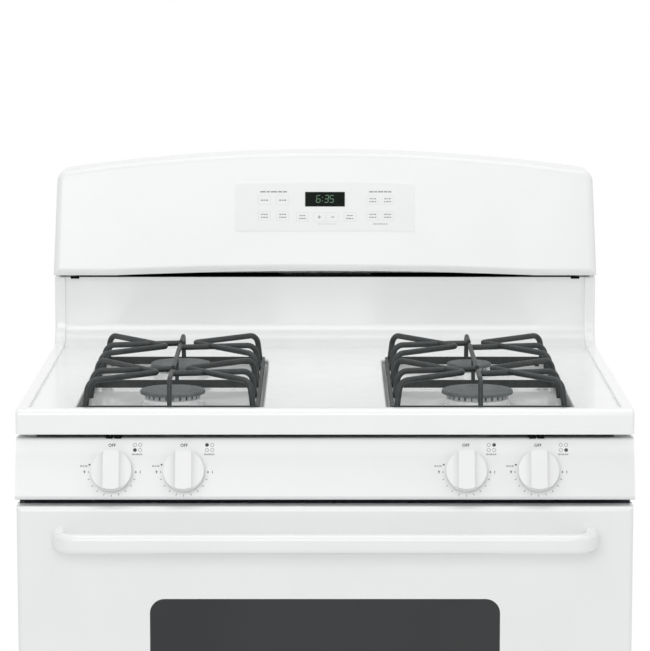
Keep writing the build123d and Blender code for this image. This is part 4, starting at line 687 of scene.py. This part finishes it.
def screw_form(form, at):
    """A domed head with a cross recess, looking backward, added to a bmesh."""
    side = BACKWARD.orthogonal().normalized()
    other = BACKWARD.cross(side)

    def corner(n, share, rise):
        a = math.tau * n / SCREW_SIDES
        across = (side * math.cos(a) + other * math.sin(a)) * SCREW_RADIUS * share
        return form.verts.new(Vector(at) + across + BACKWARD * SCREW_HEIGHT * rise)

    loops = [[corner(n, share, rise) for n in range(SCREW_SIDES)] for share, rise in DOME]
    for low, high in zip(loops, loops[1:]):
        for n in range(SCREW_SIDES):
            following = (n + 1) % SCREW_SIDES
            form.faces.new((low[n], low[following], high[following], high[n]))
    # four wide corners among the narrow ones make the cross, and the recess drops to a point
    floor = form.verts.new(Vector(at) + BACKWARD * SCREW_HEIGHT * RECESS_FLOOR)
    arm_step = SCREW_SIDES // 4
    star = [
        corner(n, RECESS_NARROW if n % arm_step else RECESS_WIDE, RECESS_RIM)
        for n in range(SCREW_SIDES)
    ]
    for n in range(SCREW_SIDES):
        following = (n + 1) % SCREW_SIDES
        form.faces.new((loops[-1][n], loops[-1][following], star[following], star[n]))
        form.faces.new((star[n], star[following], floor))


def screws(name, places):
    form = bmesh.new()
    for at in places:
        screw_form(form, at)
    mesh_piece(name, form, FINISHES["zinc_steel"], "cabinet")


# insets from the sheet's edges; the cover's places are X and Z of the frame
REAR_SHEET = 0.0012
SIDE_SCREW_INSET, SIDE_SCREW_END, SIDE_SCREW_GAPS = 0.010, 0.02, 5
END_SCREW_INSET, END_SCREW_PLACES = 0.014, (-0.19, 0.0, 0.19)
COVER_SCREW_PLACES = ((0.36, 1.03), (0.36, 1.135), (0.14, 1.17), (0.14, 1.03))

rear_low, rear_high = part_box("rear_panel")
sheet_y = rear_high.y - REAR_SHEET
side_x = rear_high.x - SIDE_SCREW_INSET
side_step = (rear_high.z - rear_low.z - 2 * SIDE_SCREW_END) / SIDE_SCREW_GAPS
side_screws = [
    (side * side_x, sheet_y, rear_low.z + SIDE_SCREW_END + side_step * step)
    for side in (-1, 1)
    for step in range(SIDE_SCREW_GAPS + 1)
]
end_screws = [
    (x, sheet_y, z)
    for x in END_SCREW_PLACES
    for z in (rear_low.z + END_SCREW_INSET, rear_high.z - END_SCREW_INSET)
]
screws("rear_panel_screws", side_screws + end_screws)
cover_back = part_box("backguard_rear_cover")[1].y
screws("rear_cover_screws", [(side * x, cover_back, z) for side in (-1, 1) for x, z in COVER_SCREW_PLACES])


# ---------------------------------------------------------------- rubber bumpers
def rounded_block(form, low, high, edge):
    """A block with bevelled edges, added to a bmesh."""
    low, high = Vector(low), Vector(high)
    place = Matrix.Translation((low + high) / 2) @ Matrix.Diagonal((*(high - low), 1.0))
    made = bmesh.ops.create_cube(form, size=1.0, matrix=place)["verts"]
    edges = {line for vertex in made for line in vertex.link_edges}
    bmesh.ops.bevel(form, geom=list(edges), offset=edge, segments=3, affect="EDGES", profile=0.5)


# the gap's bumpers are placed from the flange's back and the panel's top, the slit's from the
# riser's front and the cooktop's top
GAP_BUMPER_ACROSS, GAP_BUMPER_SPACING, GAP_BUMPER_HALF, GAP_BUMPER_EDGE = 0.2600, 0.0104, 0.0042, 0.0008
GAP_BUMPER_FRONT, GAP_BUMPER_BACK = -0.0178, -0.0080
GAP_BUMPER_FOOT, GAP_BUMPER_HEAD = -0.0010, 0.0048
SLIT_BUMPER_ACROSS, SLIT_BUMPER_HALF, SLIT_BUMPER_EDGE = 0.3512, 0.006, 0.0007
SLIT_BUMPER_FRONT, SLIT_BUMPER_BACK = -0.0022, 0.0010
SLIT_BUMPER_FOOT, SLIT_BUMPER_HEAD = -0.0022, 0.0014
RISER_TO_DUCT_BACK = 0.0447

flange_back = panel_high.y
riser_front = duct_high.y - RISER_TO_DUCT_BACK
gap_bumpers, slit_bumpers = bmesh.new(), bmesh.new()
for side in (-1, 1):
    for half_spacing in (-GAP_BUMPER_SPACING / 2, GAP_BUMPER_SPACING / 2):
        x = side * GAP_BUMPER_ACROSS + half_spacing
        rounded_block(
            gap_bumpers,
            (x - GAP_BUMPER_HALF, flange_back + GAP_BUMPER_FRONT, panel_high.z + GAP_BUMPER_FOOT),
            (x + GAP_BUMPER_HALF, flange_back + GAP_BUMPER_BACK, panel_high.z + GAP_BUMPER_HEAD),
            GAP_BUMPER_EDGE,
        )
    x = side * SLIT_BUMPER_ACROSS
    rounded_block(
        slit_bumpers,
        (x - SLIT_BUMPER_HALF, riser_front + SLIT_BUMPER_FRONT, cooktop_high.z + SLIT_BUMPER_FOOT),
        (x + SLIT_BUMPER_HALF, riser_front + SLIT_BUMPER_BACK, cooktop_high.z + SLIT_BUMPER_HEAD),
        SLIT_BUMPER_EDGE,
    )
mesh_piece("panel_gap_bumpers", gap_bumpers, BUMPER_RUBBER, "cabinet")
mesh_piece("backguard_bumpers", slit_bumpers, BUMPER_RUBBER, "cabinet")


# ---------------------------------------------------------------- stage, light and camera
WHITE = (1.0, 1.0, 1.0, 1.0)
FLOOR_HALF = 9.0
SHADOW_REACH, WHITE_REACH, NEAR_SHARE = 0.45, 1.5, 0.6
STUDIO_PAINT = (0.9, 0.9, 0.9, 1.0)
AMBIENT = 0.61
# name, place, the point it faces, width and height, power in watts
SOFTBOXES = (
    ("front_softbox", (-0.6, -3.8, 2.1), (0, 0, 0.8), (2.6, 1.6), 36.5),
    ("top_softbox", (0.0, -0.3, 3.4), (0, 0, 0.9), (2.4, 2.4), 22),
    ("right_softbox", (3.4, -1.4, 1.9), (0, 0, 0.8), (1.6, 2.0), 6),
)
# CAMERA_DOWN in degrees, CAMERA_LENS and CAMERA_SENSOR in millimetres, the rest in metres
CAMERA_PLACE, CAMERA_DOWN, CAMERA_REACH = (0.0, -4.0023, 1.5432), 7.948, 100.0
CAMERA_LENS, CAMERA_SENSOR = 170.4, 36.0


def straight_rays(nodes, links):
    """One for rays from the camera, through glass or off gloss, and zero for the rest."""
    path = nodes.new("ShaderNodeLightPath")
    seen = path.outputs["Is Camera Ray"]
    for kind in ("Is Transmission Ray", "Is Glossy Ray"):
        larger = nodes.new("ShaderNodeMath")
        larger.operation = "MAXIMUM"
        links.new(seen, larger.inputs[0])
        links.new(path.outputs[kind], larger.inputs[1])
        seen = larger.outputs["Value"]
    return seen


def studio_material(name):
    """Pale stage paint, seen as white away from the object and with a soft shadow close to it."""
    material = bpy.data.materials.new(name)
    material.use_nodes = True
    nodes, links = material.node_tree.nodes, material.node_tree.links
    nodes.clear()
    output = nodes.new("ShaderNodeOutputMaterial")
    paint = nodes.new("ShaderNodeBsdfDiffuse")
    paint.inputs["Color"].default_value = STUDIO_PAINT
    glow = nodes.new("ShaderNodeEmission")
    glow.inputs["Strength"].default_value = 1.0
    mix = nodes.new("ShaderNodeMixShader")
    place = nodes.new("ShaderNodeTexCoord")
    distance = nodes.new("ShaderNodeVectorMath")
    distance.operation = "LENGTH"
    links.new(place.outputs["Object"], distance.inputs[0])
    share = nodes.new("ShaderNodeMapRange")
    share.inputs["From Min"].default_value = SHADOW_REACH
    share.inputs["From Max"].default_value = WHITE_REACH
    share.inputs["To Min"].default_value = NEAR_SHARE
    share.inputs["To Max"].default_value = 1.0
    links.new(distance.outputs["Value"], share.inputs["Value"])
    amount = nodes.new("ShaderNodeMath")
    amount.operation = "MULTIPLY"
    links.new(straight_rays(nodes, links), amount.inputs[0])
    links.new(share.outputs["Result"], amount.inputs[1])
    links.new(amount.outputs["Value"], mix.inputs["Fac"])
    links.new(paint.outputs["BSDF"], mix.inputs[1])
    links.new(glow.outputs["Emission"], mix.inputs[2])
    links.new(mix.outputs["Shader"], output.inputs["Surface"])
    return material


floor_mesh = bpy.data.meshes.new("studio_floor")
floor_corners = [(x * FLOOR_HALF, y * FLOOR_HALF, 0) for x, y in ((-1, -1), (1, -1), (1, 1), (-1, 1))]
floor_mesh.from_pydata(floor_corners, [], [(0, 1, 2, 3)])
floor_mesh.materials.append(studio_material("studio_floor_paint"))
floor = bpy.data.objects.new("studio_floor", floor_mesh)
bpy.context.scene.collection.objects.link(floor)

world = bpy.data.worlds.new("studio")
bpy.context.scene.world = world
world.use_nodes = True
nodes, links = world.node_tree.nodes, world.node_tree.links
ambient = nodes["Background"]
ambient.inputs["Color"].default_value = WHITE
ambient.inputs["Strength"].default_value = AMBIENT
white = nodes.new("ShaderNodeBackground")
white.inputs["Color"].default_value = WHITE
white.inputs["Strength"].default_value = 1.0
mix = nodes.new("ShaderNodeMixShader")
links.new(straight_rays(nodes, links), mix.inputs["Fac"])
links.new(ambient.outputs["Background"], mix.inputs[1])
links.new(white.outputs["Background"], mix.inputs[2])
links.new(mix.outputs["Shader"], nodes["World Output"].inputs["Surface"])


def softbox(name, place, target, size, power):
    """A large even lamp facing a point."""
    light = bpy.data.lights.new(name, "AREA")
    light.shape = "RECTANGLE"
    light.size, light.size_y = size
    light.energy = power
    lamp = bpy.data.objects.new(name, light)
    lamp.location = place
    lamp.rotation_mode = "QUATERNION"
    lamp.rotation_quaternion = (Vector(target) - Vector(place)).to_track_quat("-Z", "Y")
    bpy.context.scene.collection.objects.link(lamp)


for lamp_values in SOFTBOXES:
    softbox(*lamp_values)

camera_data = bpy.data.cameras.new("product_camera")
camera_data.sensor_width = CAMERA_SENSOR
camera_data.lens = CAMERA_LENS
camera_data.clip_end = CAMERA_REACH
camera = bpy.data.objects.new("product_camera", camera_data)
camera.location = CAMERA_PLACE
camera.rotation_euler = (math.radians(90 - CAMERA_DOWN), 0.0, 0.0)
bpy.context.scene.collection.objects.link(camera)
bpy.context.scene.camera = camera
bpy.context.scene.view_settings.view_transform = "Standard"
